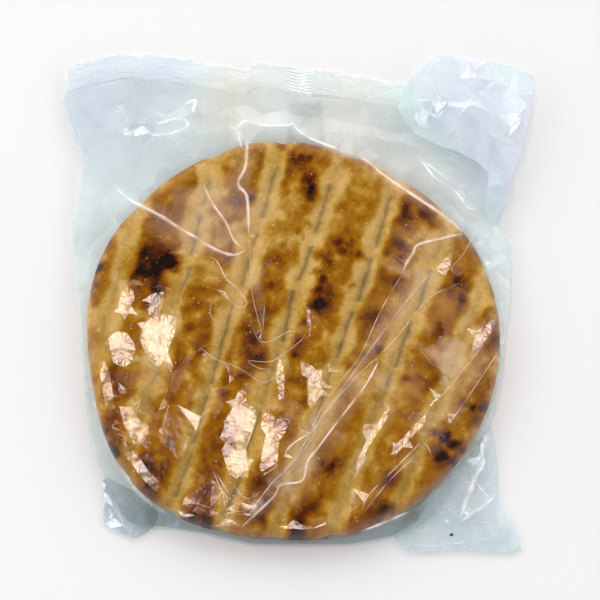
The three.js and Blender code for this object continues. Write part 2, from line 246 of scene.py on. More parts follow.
def toast_top(x, y, inset, off):
    """How dark the top crust is, from 0, pale, to 1, black."""
    wander = noise.noise_vector(Vector((x / 9, y / 9, 2.0)))
    small = noise.noise_vector(Vector((x / 2.6, y / 2.6, 8.0)))
    place_x = x + PATCH_WANDER * wander.x + PATCH_FRAY * small.x
    place_y = y + PATCH_WANDER * wander.y + PATCH_FRAY * small.y
    broad = 0.0
    for spot_x, spot_y, radius, strength in TOAST_PATCHES:
        reach = ((place_x - spot_x) ** 2 + (place_y - spot_y) ** 2) / (radius * radius)
        if reach < 4:
            broad += strength * math.exp(-SPOT_EDGE * reach)
    broad = min(PATCH_MOST, broad)
    ridge = unit((abs(off) + RIDGE_WANDER * wander.z - RIDGE_START) / RIDGE_RISE)
    ridge = ridge * ridge * (3 - 2 * ridge)
    mottle = noise.fractal(Vector((x / 7, y / 7, 5.0)), 0.9, 2.1, 4)
    blotch = max(0.0, noise.fractal(Vector((x / 4.2, y / 4.2, 15.0)), 0.8, 2.2, 3) - 0.12)
    drift = noise.noise(Vector((x / 24, y / 24, 41.0)))
    toast = BARE_CRUST + DARKER_LOW_SIDE * unit((DARKER_FROM - y) / DARKER_SPAN)
    toast += (RIDGE_TOAST + 0.2 * mottle + 0.22 * drift) * ridge
    toast += broad * (0.09 + 0.70 * ridge) * (1 + 0.5 * mottle)
    toast += BLOTCH_TOAST * blotch * ridge * (0.30 + broad)
    toast += 0.08 * mottle
    toast = min(toast, FULL_TOAST + SLOWER * (toast - FULL_TOAST))
    burnt = 0.0
    for spot_x, spot_y, radius, strength in BURNT_SPOTS:
        off_x = x + SPOT_FRAY * small.x - spot_x
        off_y = y + SPOT_FRAY * small.y - spot_y
        reach = (off_x ** 2 + off_y ** 2) / (radius * radius)
        if reach < 4:
            burnt = max(burnt, strength * math.exp(-SPOT_EDGE * reach ** 1.6))
    toast += burnt * (0.62 - 0.25 * min(1.0, toast)) + 0.35 * burnt ** 4
    toast += RIM_TOAST * math.exp(-((inset - 0.5) / RIM_TOAST_WIDTH) ** 2) * (1 + 0.6 * mottle)
    return unit(toast)


GRID_STEPS = 150
RIM_STEPS = 12  # the outermost rings of the grid lie close together, round the rim
RIM_WIDTH = 10.0
TOP_ROUND = 8.5
LOW_ROUND = 4.0
FINE_REACH = 2.2  # the grid is made four times finer this close to a score
TOP_GRAIN = 0.16
GROOVE_GREYING = 0.24  # the grooves are greyer towards the folded end
GREYING_FROM = 35

bpy.ops.object.select_all(action="DESELECT")
bpy.ops.mesh.primitive_grid_add(x_subdivisions=GRID_STEPS, y_subdivisions=GRID_STEPS, size=2)
pita = bpy.context.object
pita.name = "pita"
pita.data.name = "pita"
bpy.ops.object.mode_set(mode="EDIT")
bpy.ops.mesh.select_all(action="SELECT")
bpy.ops.mesh.extrude_region_move(TRANSFORM_OT_translate={"value": (0, 0, -1)})
bpy.ops.mesh.select_all(action="SELECT")
bpy.ops.mesh.normals_make_consistent(inside=False)


def disc_place(grid_x, grid_y):
    """A point of the square grid laid into the bread's outline: x, y and the depth in from the rim."""
    ring = max(abs(grid_x), abs(grid_y))
    if ring < 1e-6:
        return 0.0, 0.0, BREAD_RADIUS
    if abs(grid_x) >= abs(grid_y):
        angle = math.pi / 4 * grid_y / grid_x + (math.pi if grid_x < 0 else 0)
    else:
        angle = math.pi / 2 - math.pi / 4 * grid_x / grid_y + (math.pi if grid_y < 0 else 0)
    radius = bread_outline(angle)
    steps = (1 - ring) * GRID_STEPS / 2
    if steps < RIM_STEPS:
        inset = RIM_WIDTH * (1 - math.cos(math.pi / 2 * steps / RIM_STEPS))
    else:
        inset = RIM_WIDTH + (radius - RIM_WIDTH) * (steps - RIM_STEPS) / (GRID_STEPS / 2 - RIM_STEPS)
    return (radius - inset) * math.cos(angle), (radius - inset) * math.sin(angle), inset


pita_mesh = bmesh.from_edit_mesh(pita.data)
bpy.ops.mesh.select_all(action="DESELECT")
for face in pita_mesh.faces:
    middle = face.calc_center_median()
    if face.normal.z > 0.5:
        x, y, inset = disc_place(middle.x, middle.y)
        face.select = score(x, y)[0] < FINE_REACH and inset > 5
bmesh.update_edit_mesh(pita.data)
bpy.ops.mesh.subdivide(number_cuts=3)
bpy.ops.object.mode_set(mode="OBJECT")

toast_of = []
score_of = []
for vertex in pita.data.vertices:
    top = vertex.co.z > -0.5
    x, y, inset = disc_place(vertex.co.x, vertex.co.y)
    off = groove_place(x, y)[1]
    if top:
        _, stain, cut = score(x, y)
        full = BREAD_THICKNESS - GROOVE_DEPTH * valley(off) + swell(x, y) * (1 - valley(off))
        full += TOP_GRAIN * noise.fractal(Vector((x / 5, y / 5, 9.0)), 0.8, 2.2, 3)
        z = RIM_MIDDLE + RIM_BAND + (full - RIM_MIDDLE - RIM_BAND) * rounded(inset, TOP_ROUND)
        inner = unit((inset - 4) / 3)
        z -= SCORE_DEPTH * cut * inner
        grey = GROOVE_GREYING * valley(off) * unit((GREYING_FROM - y) / DARKER_SPAN)
        toast_of.append(toast_top(x, y, inset, off))
        score_of.append(max(stain, grey) * inner)
    else:
        z = RIM_MIDDLE - RIM_BAND - (RIM_MIDDLE - RIM_BAND - UNDERSIDE) * rounded(inset, LOW_ROUND)
        patch = noise.fractal(Vector((x / 14, y / 14, 31.0)), 0.9, 2.1, 4)
        toast_of.append(unit(0.34 + 0.35 * patch))
        score_of.append(0.0)
    vertex.co = (x * MM, y * MM, z * MM)


def mark(mesh, name, values):
    """A value for every point of a mesh, which its material reads by that name."""
    mesh.attributes.new(name, "FLOAT", "POINT").data.foreach_set("value", values)


mark(pita.data, "toast", toast_of)
mark(pita.data, "score", score_of)
bpy.ops.object.shade_smooth()


def paint(name, values):
    """A new material with a plain surface that has those values."""
    material = bpy.data.materials.new(name)
    material.use_nodes = True
    for socket, value in values.items():
        material.node_tree.nodes["Principled BSDF"].inputs[socket].default_value = value
    return material


def add_node(owner, kind, values=None, **settings):
    """A new node of a material or a world, with its settings and the values of its inputs."""
    made = owner.node_tree.nodes.new(kind)
    for setting, value in settings.items():
        setattr(made, setting, value)
    for socket, value in (values or {}).items():
        made.inputs[socket].default_value = value
    return made


def fill_ramp(node, stops):
    """Puts colours on a colour ramp: each place along it, and the colour there."""
    elements = node.color_ramp.elements
    for k, (spot, colour) in enumerate(stops):
        element = elements[k] if k < 2 else elements.new(spot)
        element.position = spot
        element.color = (*colour, 1)


# Dry crust: pale gold dough through toasted brown to black, mottled finely, with a floury grain.
CRUST_COLOURS = (
    (0.00, (0.85, 0.50, 0.175)), (0.11, (0.73, 0.42, 0.12)), (0.21, (0.60, 0.31, 0.048)),
    (0.32, (0.48, 0.205, 0.012)), (0.44, (0.39, 0.138, 0.002)), (0.58, (0.25, 0.068, 0.001)),
    (0.74, (0.11, 0.020, 0.001)), (0.90, (0.014, 0.004, 0.002)),
)
SCORE_COLOUR = (0.17, 0.125, 0.05)
GRAIN_SHIFT = 0.32  # how much the grain moves the toast up and down

crust = paint("crust", {"Roughness": 0.85, "Specular IOR Level": 0.02})
link = crust.node_tree.links.new
place = add_node(crust, "ShaderNodeTexCoord")
toast_value = add_node(crust, "ShaderNodeAttribute", attribute_name="toast")
score_value = add_node(crust, "ShaderNodeAttribute", attribute_name="score")
grain = add_node(crust, "ShaderNodeTexNoise", {"Scale": 480, "Detail": 6, "Roughness": 0.6})
grain_shift = add_node(crust, "ShaderNodeMath", {1: GRAIN_SHIFT, 2: -GRAIN_SHIFT / 2},
                       operation="MULTIPLY_ADD")
toast_sum = add_node(crust, "ShaderNodeMath", operation="ADD")
ramp = add_node(crust, "ShaderNodeValToRGB")
fill_ramp(ramp, CRUST_COLOURS)
score_mix = add_node(crust, "ShaderNodeMix", {"B": (*SCORE_COLOUR, 1)}, data_type="RGBA")
relief = add_node(crust, "ShaderNodeBump", {"Strength": 0.35, "Distance": 0.4 * MM})
crust_surface = crust.node_tree.nodes["Principled BSDF"]
link(place.outputs["Object"], grain.inputs["Vector"])
link(grain.outputs["Fac"], grain_shift.inputs[0])
link(toast_value.outputs["Fac"], toast_sum.inputs[0])
link(grain_shift.outputs["Value"], toast_sum.inputs[1])
link(toast_sum.outputs["Value"], ramp.inputs["Fac"])
link(ramp.outputs["Color"], score_mix.inputs["A"])
link(score_value.outputs["Fac"], score_mix.inputs["Factor"])
link(score_mix.outputs["Result"], crust_surface.inputs["Base Color"])
link(grain.outputs["Fac"], relief.inputs["Height"])
link(relief.outputs["Normal"], crust_surface.inputs["Normal"])
pita.data.materials.append(crust)
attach(pita, "root")
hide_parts("bag")


# ------------------------------------------------------------------------------------- the film bag
# Clear polypropylene film, 0.03 mm thick, drawn round the bread and creased wherever it has slack.
# Each part of the bag is one closed skin of two films with air between them, built from the lines
# of its folds: crests, the flat facets between them, and small random crumples.
FILM_CLEAR = 0.75  # air between the crust and the film
SHOULDER_DROP = 1.7
SHOULDER_WIDTH = 9.0
FILM_SWELL = 0.8  # how much of the crust's unevenness the film follows
FILM_UNDER = 0.35
FILM_DROOP = 1.15
FILM_SOFT = 0.28  # the rounding beside every fold
FOLD_STEP = 3.5


def around(ring):
    """Each point of a closed ring with the next one."""
    return zip(ring, ring[1:] + ring[:1])


def segment_gap(x, y, a, b):
    """Distance from a point to the segment a-b in plan, and how far along the segment it lies."""
    ax, ay = a[0], a[1]
    bx, by = b[0] - ax, b[1] - ay
    length = bx * bx + by * by
    share = max(0.0, min(1.0, ((x - ax) * bx + (y - ay) * by) / length)) if length else 0.0
    return math.hypot(x - ax - share * bx, y - ay - share * by), share


def inside(x, y, ring):
    """Whether a point lies in a closed ring of points."""
    hit = False
    for a, b in around(ring):
        if (a[1] > y) != (b[1] > y) and x < (b[0] - a[0]) * (y - a[1]) / (b[1] - a[1]) + a[0]:
            hit = not hit
    return hit


def resample(points, step, closed=False):
    """The same line with no stretch longer than step."""
    result = []
    for a, b in around(points) if closed else zip(points, points[1:]):
        count = max(1, math.ceil(math.dist(a[:2], b[:2]) / step))
        for k in range(count):
            result.append(tuple(p + (q - p) * k / count for p, q in zip(a, b)))
    if not closed:
        result.append(tuple(points[-1]))
    return result


def flowing(points, step):
    """A smooth open line through the points, with no stretch much longer than step."""
    result = []
    last = len(points) - 1
    for k in range(last):
        before, a, b, after = points[max(0, k - 1)], points[k], points[k + 1], points[min(last, k + 2)]
        count = max(1, round(math.dist(a, b) / step))
        for j in range(count):
            t = j / count
            result.append(tuple(
                0.5 * (2 * q + (r - p) * t + (2 * p - 5 * q + 4 * r - s) * t * t
                       + (3 * q - p - 3 * r + s) * t * t * t)
                for p, q, r, s in zip(before, a, b, after)))
    result.append(tuple(points[-1]))
    return result


class Fold:
    """A crease in a film: its crest line, how high it stands, how far its sides reach, how white its
    crest is, and how wide that white line is."""

    def __init__(self, crest, height, reach, white, width=0.3):
        self.points = crest
        self.crest = flowing(crest, FOLD_STEP)
        self.height = height
        self.reach = reach
        self.white = white
        self.width = width
        self.run = [0.0]
        for a, b in zip(self.crest, self.crest[1:]):
            self.run.append(self.run[-1] + math.dist(a, b))
        self.low = tuple(min(p[k] for p in self.crest) - reach for k in (0, 1))
        self.high = tuple(max(p[k] for p in self.crest) + reach for k in (0, 1))

    def at(self, x, y):
        """The gap to the crest, and the share of the full height there, which tapers to the ends."""
        if not (self.low[0] <= x <= self.high[0] and self.low[1] <= y <= self.high[1]):
            return 1e9, 0.0
        best = (1e9, 0.0)
        for k, (a, b) in enumerate(zip(self.crest, self.crest[1:])):
            gap, share = segment_gap(x, y, a, b)
            if gap < best[0]:
                best = (gap, self.run[k] + share * (self.run[k + 1] - self.run[k]))
        gap, along = best
        end = min(along, self.run[-1] - along)
        return gap, min(1.0, 0.15 + end / 6)


FACET_WOBBLE = 0.22  # how uneven a facet is
FACET_DIP = 0.45  # how far a facet may dip below the film around it


class Facet:
    """A flat patch of film that lies in one slanting plane: its ring and the plane's slope."""

    def __init__(self, ring, slope, base):
        self.ring = ring
        self.slope = slope
        self.middle = (sum(p[0] for p in ring) / len(ring), sum(p[1] for p in ring) / len(ring))
        self.height = 0.0
        self.height = max(base(x, y) - self.at(x, y) for x, y in ring) - FACET_DIP
        self.low = (min(p[0] for p in ring), min(p[1] for p in ring))
        self.high = (max(p[0] for p in ring), max(p[1] for p in ring))

    def at(self, x, y):
        """The height of the facet's plane."""
        return self.height + self.slope[0] * (x - self.middle[0]) + self.slope[1] * (y - self.middle[1])

    def near(self, x, y, gap):
        """Whether a point lies in the box round the facet, or within that gap of it."""
        if not self.low[0] - gap <= x <= self.high[0] + gap:
            return False
        return self.low[1] - gap <= y <= self.high[1] + gap

    def holds(self, x, y):
        """Whether a point lies in the facet or on its ring."""
        if not self.near(x, y, 0.05):
            return False
        if inside(x, y, self.ring):
            return True
        return any(segment_gap(x, y, a, b)[0] < 0.02 for a, b in around(self.ring))


SCATTER_TRIES = 14000
SCATTER_CELL = 4.0
EDGE_SHARE = 0.35  # scattered points keep this share of their spacing off the outline


def film_layer(outline, height, folds, facets, lines, spacing, seed):
    """Triangles in plan that follow every fold, facet and line: points with heights, and faces."""
    ring = [p[:2] for p in outline]
    points = list(ring)
    count = len(points)
    edges = [(k, (k + 1) % count) for k in range(count)]
    fixed = []

    def add_line(line, closed=False):
        first = len(points)
        points.extend(p[:2] for p in line)
        for k in range(len(line) - 1):
            edges.append((first + k, first + k + 1))
        if closed:
            edges.append((first + len(line) - 1, first))
        fixed.extend(p[:2] for p in line)

    for fold in folds:
        add_line(fold.crest)
    for facet in facets:
        add_line(resample(facet.ring, 5, closed=True), closed=True)
    for line, closed in lines:
        add_line(line, closed)

    rng = random.Random(seed)
    low_x, high_x = min(p[0] for p in ring), max(p[0] for p in ring)
    low_y, high_y = min(p[1] for p in ring), max(p[1] for p in ring)
    near = {}

    def remember(x, y):
        near.setdefault((int(x // SCATTER_CELL), int(y // SCATTER_CELL)), []).append((x, y))

    def crowded(x, y, gap):
        span = int(gap // SCATTER_CELL) + 1
        cx, cy = int(x // SCATTER_CELL), int(y // SCATTER_CELL)
        for i in range(cx - span, cx + span + 1):
            for j in range(cy - span, cy + span + 1):
                for px, py in near.get((i, j), ()):
                    if math.hypot(px - x, py - y) < gap:
                        return True
        return False

    for x, y in fixed + ring:
        remember(x, y)
    for _ in range(SCATTER_TRIES):
        x = rng.uniform(low_x, high_x)
        y = rng.uniform(low_y, high_y)
        gap = spacing(x, y)
        if crowded(x, y, gap) or not inside(x, y, ring):
            continue
        if min(segment_gap(x, y, a, b)[0] for a, b in around(ring)) < EDGE_SHARE * gap:
            continue
        points.append((x, y))
        remember(x, y)

    made = geometry.delaunay_2d_cdt([Vector(p) for p in points], edges, [list(range(count))], 1, 1e-3, False)
    flat = made[0]
    faces = [face for face in made[2] if inside(*(sum((flat[k] for k in face), Vector((0, 0))) / 3), ring)]
    return [Vector((p.x, p.y, height(p.x, p.y))) for p in flat], faces


def key_of(point):
    """The point's place in plan, rounded so that equal points are found."""
    return (round(point[0], 2), round(point[1], 2))


def smooth_piece(name, mesh):
    """A new piece with that mesh, smooth, and alone selected."""
    piece = bpy.data.objects.new(name, mesh)
    bpy.context.collection.objects.link(piece)
    bpy.ops.object.select_all(action="DESELECT")
    piece.select_set(True)
    bpy.context.view_layer.objects.active = piece
    bpy.ops.object.shade_smooth()
    return piece


def piece_of(name, body):
    """A new smooth piece with the mesh that was built up in body."""
    mesh = bpy.data.meshes.new(name)
    body.to_mesh(mesh)
    body.free()
    return smooth_piece(name, mesh)


def film_skin(name, outline, layers, white, tone):
    """One closed skin. Every triangle is inset, and a narrow strip along each of its sides runs to the
    real edge, so that facets stay flat and folds stay crisp. Layers are (points, faces, whether it
    faces up), and share the outline's points, where the skin's edge is sharp. white is the film's
    haze at a place, painted sheen and shade included, and tone its hue there: -1 lavender, 0 the
    haze's own colour, 1 beige."""
    body = bmesh.new()
    whiteness = body.verts.layers.float.new("white")
    hue = body.verts.layers.float.new("tone")
    rim = {key_of(point): body.verts.new(Vector(point) * MM) for point in outline}

    for points, faces, up in layers:
        own = {}
        sums = {}
        corners = {}
        for index, face in enumerate(faces):
            a, b, c = (points[k] for k in face)
            if (b.x - a.x) * (c.y - a.y) - (b.y - a.y) * (c.x - a.x) < 0:
                face = face[::-1]
                a, b, c = c, b, a
            sizes = ((b - c).length, (c - a).length, (a - b).length)
            whole = sum(sizes)
            area = (b - a).cross(c - a).length / 2
            if area < 1e-6:
                continue
            middle = (a * sizes[0] + b * sizes[1] + c * sizes[2]) / whole
            inner = 2 * area / whole
            share = min(FILM_SOFT, 0.4 * inner) / inner
            for k in face:
                spot = points[k].lerp(middle, share)
                own[(index, k)] = body.verts.new(spot * MM)
                sums.setdefault(k, []).append(spot)
            corners[index] = face

        middles = {}
        for k, spots in sums.items():
            corner = rim.get(key_of(points[k]))
            if corner is None:
                spot = points[k].lerp(sum(spots, Vector()) / len(spots), 0.4)
                corner = body.verts.new(spot * MM)
            middles[k] = corner
            corner[whiteness] = white(points[k].x, points[k].y)
            corner[hue] = tone(points[k].x, points[k].y)

        def add(ring):
            body.faces.new(ring if up else ring[::-1])

        for index, face in corners.items():
            for k in face:
                own[(index, k)][whiteness] = middles[k][whiteness]
                own[(index, k)][hue] = middles[k][hue]
            add([own[(index, k)] for k in face])
            for start, end in around(face):
                add([own[(index, end)], own[(index, start)], middles[start], middles[end]])

    outer = set(rim.values())
    for edge in body.edges:
        edge.smooth = not outer.issuperset(edge.verts)
    piece = piece_of(name, body)
    weighted = piece.modifiers.new("weighted normals", "WEIGHTED_NORMAL")
    weighted.weight = 80
    weighted.keep_sharp = True
    bpy.ops.object.modifier_apply(modifier=weighted.name)
    return piece


CREST_SHEEN_MOST = 0.12  # the most sheen that a whitened fold spreads beside its crest: partly its stressed film's haze, partly painted highlight


def haze_with(folds, mist):
    """The film's haze as a function of place: its mist, and a painted sheen beside the whitest folds."""

    def white(x, y):
        crest_sheen = 0.0
        for fold in folds:
            gap, share = fold.at(x, y)
            if gap < fold.reach:
                crest_sheen = max(crest_sheen, CREST_SHEEN_MOST * fold.white ** 3 * share * (1 - gap / fold.reach) ** 1.5)
        return mist(x, y) + crest_sheen

    return white


# Where the film looks lavender or beige, from the way that it lies and what it mirrors: each x, y,
# radius and tone.
TONE_SPOTS = (
    (-95, 120, 24, -1), (-58, 128, 16, -.9), (-100, 92, 14, -.5), (-25, 116, 18, 1), (-42, 116, 12, .6),
    (25, 108, 24, .8), (55, 90, 18, .7), (77, 66, 14, .6), (-62, 92, 16, -.3), (-30, 100, 9, .5),
    (112, 115, 24, -1), (80, 128, 22, -1), (96, 100, 22, -1), (103, 75, 16, -1), (105, 130, 9, 1.4),
    (62, 104, 12, -.4), (90, -70, 16, -.5), (60, -96, 14, .2), (-80, -85, 10, -.9),
)


def film_tone(x, y):
    """The film's hue at a place, as film_skin uses it."""
    tone = 0.0
    for spot_x, spot_y, radius, strength in TONE_SPOTS:
        tone += strength * math.exp(-((x - spot_x) ** 2 + (y - spot_y) ** 2) / radius ** 2)
    return max(-1.0, min(1.0, tone))


creased = []  # each piece of film with its folds, for the whitened creases made further down

# The body of the bag: its outline from the bottom right round to the left, with the height of its
# edge, and the top left corner, which lies out flat.
BODY_OUTLINE = (
    (48, -91.5, 2.4), (59, -86.5, 2.4), (66, -80, 2.6), (75.5, -65.5, 2.8), (85, -50.5, 3),
    (92, -39.5, 3.2), (96, -28.5, 3.4), (97.5, -18.5, 3.6), (100, 2.5, 4), (102.5, 18, 4), (103.5, 36, 3.8),
    (103.5, 45, 3.4), (100.5, 49.5, 3.4), (97.5, 55, 3.6), (99.5, 61, 4), (102, 72, 4.4), (102, 86, 4.6),
    (96, 100, 4.6), (84, 111, 4.4), (70, 116, 4.4), (57, 113.5, 4.2), (52, 113, 4.2), (30, 117, 4),
    (9.5, 118.5, 3.8), (-14.5, 123.5, 3.8), (-22, 119.5, 3.8), (-27.5, 121, 3.8), (-48.5, 125, 3.8),
    (-76, 128.5, 3.6), (-93, 125, 3.4), (-108, 122, 3), (-109.5, 116, 3), (-104.5, 103, 3.4),
    (-99, 89, 3.8), (-99, 83.5, 4), (-100, 70.5, 3.8), (-101.5, 58, 3.4), (-103, 56.5, 3.2),
    (-102.5, 48, 3.2), (-101.5, 35.5, 3.4), (-98.5, 8, 3.6), (-95.5, -19, 3.6), (-93.5, -34, 3.2),
    (-92, -44.5, 3), (-89, -56, 2.8), (-85.5, -63.5, 2.6), (-80, -72, 2.2), (-77, -80.5, 2),
    (-73, -84.5, 1.8), (-64, -87.5, 1.8), (-52, -88, 2.4), (-39, -90, 2.6), (-32, -92, 2.8),
    (-17.5, -95, 3), (5.5, -95.5, 3), (28.5, -95, 2.8), (40.5, -93, 2.6),
)
OUTLINE_STEP = 6.0
body_outline = resample(BODY_OUTLINE, OUTLINE_STEP, closed=True)


def edge_place(x, y, ring_points):
    """Distance to the nearest stretch of the outline, and the edge's height there."""
    best = (1e9, 0.0)
    for a, b in around(ring_points):
        gap, share = segment_gap(x, y, a, b)
        if gap < best[0]:
            best = (gap, a[2] + share * (b[2] - a[2]))
    return best


def rim_depth(x, y):
    """How far inside the bread's outline a point lies; negative outside."""
    return bread_outline(math.atan2(y, x)) - math.hypot(x, y)


def body_base(x, y):
    """The top film without its folds: over the bread, down its shoulder and out to the edge."""
    depth = rim_depth(x, y)
    if depth >= 0:
        low = 1 - min(1.0, depth / SHOULDER_WIDTH)
        return BREAD_THICKNESS + FILM_CLEAR + FILM_SWELL * swell(x, y) - SHOULDER_DROP * low * low
    gap, edge = edge_place(x, y, body_outline)
    shoulder = BREAD_THICKNESS + FILM_CLEAR - SHOULDER_DROP
    share = -depth / (-depth + gap + 1e-6)
    return edge + (shoulder - edge) * (1 - share) ** FILM_DROOP


# The light patch that the film's flat facets mirror: its middle, also used for the lamp below.
GLINT_SPOT = Vector((-350.0, 10.0, 1200.0))
MIRROR_HEIGHT = 11  # about where the film lies over the bread


def mirror_slope(ring, light):
    """The slope that a facet needs so that it mirrors that light towards the view."""
    x = sum(p[0] for p in ring) / len(ring)
    y = sum(p[1] for p in ring) / len(ring)
    spot = Vector((x, y, MIRROR_HEIGHT))
    normal = ((camera_spot - spot).normalized() + (light - spot).normalized()).normalized()
    return -normal.x / normal.z, -normal.y / normal.z


# Each fold's crest, drawn through its points, its height, the reach of its sides, its whiteness and
# the width of its white line. First the strong folds, then the fine wrinkles.
BODY_FOLDS = (
    Fold([(-84, 75), (-78.5, 68), (-71, 63), (-60, 57), (-51, 51), (-43.5, 46.5), (-36.5, 42), (-29.5, 39),
          (-25.5, 38.5), (-22, 40), (-21, 41)], 0.5, 6, 1.0, 1.0),
    Fold([(-22.5, 42), (-25, 44), (-27.5, 48), (-30, 54), (-36.5, 63.5), (-41, 73)], 0.5, 5, 0.95, 0.8),
    Fold([(-89, 67.5), (-82, 54.5), (-78.5, 42.5)], 0.7, 4, 0.5),
    Fold([(-23, 90.5), (-25, 100.5), (-23, 104), (-21, 105), (-18, 103.5), (-13, 102.5), (-2, 102.5),
          (1, 103.5), (3.5, 100), (9, 96), (21.5, 90.5), (34, 86), (45, 76.5), (58.5, 67), (69, 59.5),
          (75.5, 54.5), (81, 50)], 1.3, 6, 1.0, 1.0),
    Fold([(-20.5, 95.5), (-21, 82), (-24.5, 73), (-20.5, 67), (-19.5, 56), (-19.5, 49)], 1.2, 6, 0.95, 1.0),
    Fold([(-19.5, 49), (-18.5, 35), (-18, 22.5), (-15.5, 11), (-13, 2.5), (-12, 11), (-11.5, 17.5)],
         0.9, 5, 0.3),
    Fold([(-24, 73), (-22, 72.5), (-18, 73)], 0.5, 3, 0.6),
    Fold([(81, 49), (72, 46.5), (59.5, 43), (57.5, 39.5), (54, 34), (52.5, 30)], 1.6, 7, 0.95, 0.9),
    Fold([(52.5, 30), (42, 12), (32.5, -8.5), (23, -21.5), (14.5, -33.5), (9.5, -44.5)], 1.5, 6, 0.5),
    Fold([(66.5, 31.5), (50, 11.5), (30, -16), (10.5, -43.5), (0.5, -59), (-8, -67.5), (-16, -78),
          (-22, -86)], 1.1, 5, 0.5),
    Fold([(79.5, 25.5), (68.5, 20.5), (61, 14.5), (46.5, -3.5), (30, -19.5), (14, -38.5), (9, -49),
          (0, -60)], 1.1, 5, 0.45),
    Fold([(41, -11), (34.5, -23), (21.5, -40), (12, -52.5), (8, -58), (5.5, -66.5), (-4, -68.5),
          (-7.5, -74), (-21.5, -87)], 1.4, 5, 0.85, 0.7),
    Fold([(9.5, -44.5), (0.5, -50.5), (-3, -56)], 0.8, 4, 0.9, 0.7),
    Fold([(98, -4), (87.5, -19.5), (72.5, -41)], 1.0, 5, 0.6),
    Fold([(89, -4), (79.5, -16), (61.5, -37)], 0.9, 5, 0.4),
    Fold([(60, -48.5), (48.5, -60), (36, -72.5), (32.5, -79.5)], 1.3, 5, 0.6),
    Fold([(32.5, -79.5), (34.5, -79), (44.5, -67), (57, -55)], 1.0, 4, 0.6),
    Fold([(32, -89), (41.5, -85.5), (54, -80)], 0.6, 4, 0.9, 0.8),
    Fold([(60, -48.5), (62.5, -51), (64.5, -56)], 0.7, 3, 0.7),
    Fold([(-39, 37.5), (-34.5, 36), (-29.5, 27), (-24.5, 22.5), (-20, 16), (-22, 13.5), (-25.5, 14.5),
          (-30.5, 20.5), (-36, 22.5)], 0.8, 4, 0.5, 0.4),
    Fold([(-30.5, 18.5), (-35, 17), (-37, 13), (-36, 8.5), (-32, 5.5)], 0.5, 3, 0.3),
    Fold([(-19, 10), (-15, -1), (-13, -2.5), (-9, -2.5), (-1, 2), (3, 2), (4, 1)], 0.5, 3, 0.45),
    Fold([(-41.5, -5), (-34.5, -10.5), (-27.5, -13), (-21.5, -16), (-12.5, -21.5), (-7.5, -19),
          (-7.5, -17)], 0.5, 3, 0.45),
    Fold([(-8.5, -15), (-14, -15), (-19, -11.5), (-8, -11.5), (4.5, -2.5), (6.5, 0.5)], 0.5, 3, 0.4),
    Fold([(27.5, -69), (25.5, -65), (34, -55.5), (33.5, -58), (28, -66.5)], 0.7, 3, 0.45),
    Fold([(-35, -61), (-30.5, -71), (-24.5, -76.5), (-22, -76)], 0.8, 4, 0.6),
    Fold([(-33.5, -62.5), (-27.5, -72), (-22, -75)], 0.6, 3, 0.6),
    Fold([(-25.5, -68.5), (-20.5, -74), (-17, -74), (-13.5, -73)], 0.7, 3, 0.6),
    Fold([(-23.5, -69.5), (-17, -72), (-12.5, -71.5)], 0.5, 3, 0.5),
    Fold([(-19, -80), (-24.5, -80.5), (-28.5, -82), (-21.5, -87.5)], 0.7, 4, 0.7),
    Fold([(92, 76.5), (90, 59.5), (82, 41), (75, 32), (79, 28.5)], 0.8, 5, 0.35),
    Fold([(58.5, -5), (69, -16.5), (76.5, -20)], 0.5, 3, 0.45),
    Fold([(-85, 110), (-81, 110.5), (-78.5, 108)], 0.8, 4, 0.9, 1.0),
    Fold([(-85, 102), (-66.5, 106.5), (-58, 109.5)], 0.8, 6, 0.25),
    Fold([(-67.5, 105), (-63.5, 104), (-52.5, 106.5), (-49, 103), (-54.5, 99.5), (-63.5, 98), (-67, 99.5)],
         1.0, 5, 1.0, 1.2),
    Fold([(-51.5, 113.5), (-46, 116), (-47, 109), (-48.5, 103.5)], 1.0, 4, 1.0, 1.2),
    Fold([(-49.5, 103), (-55, 98), (-54, 93), (-46, 86.5)], 0.9, 5, 0.4),
    Fold([(-54, 94.5), (-46, 98), (-34.5, 100.5), (-27.5, 102.5)], 0.9, 5, 0.4),
    Fold([(-33.5, 111), (-36, 108.5), (-46.5, 108)], 0.8, 5, 0.4),
    Fold([(-92.5, 124), (-90, 121), (-85.5, 119), (-84, 114)], 0.7, 6, 0.25),
    Fold([(-99, 121), (-93, 107.5), (-93.5, 101.5)], 0.7, 6, 0.25),
    Fold([(-106, 113.5), (-102, 112)], 0.5, 3, 0.6),
    Fold([(-104.5, 112), (-102.5, 103), (-98, 92)], 0.6, 4, 0.5),
    Fold([(3.5, 102), (23.5, 99.5), (48.5, 95), (66.5, 91.5)], 0.8, 4, 0.3),
    Fold([(60.5, 88), (68.5, 76.5), (78, 70), (84, 62), (89, 62)], 0.9, 5, 1.0, 0.9),
    Fold([(62, 86), (70, 79.5), (80, 71.5), (83.5, 66.5)], 0.8, 4, 0.9, 0.6),
    Fold([(74, 91.5), (78.5, 88), (89, 86), (90, 88)], 0.7, 4, 0.7, 0.4),
    Fold([(-97, 88), (-97, 66.5), (-94, 49.5)], 0.7, 4, 0.4),
)
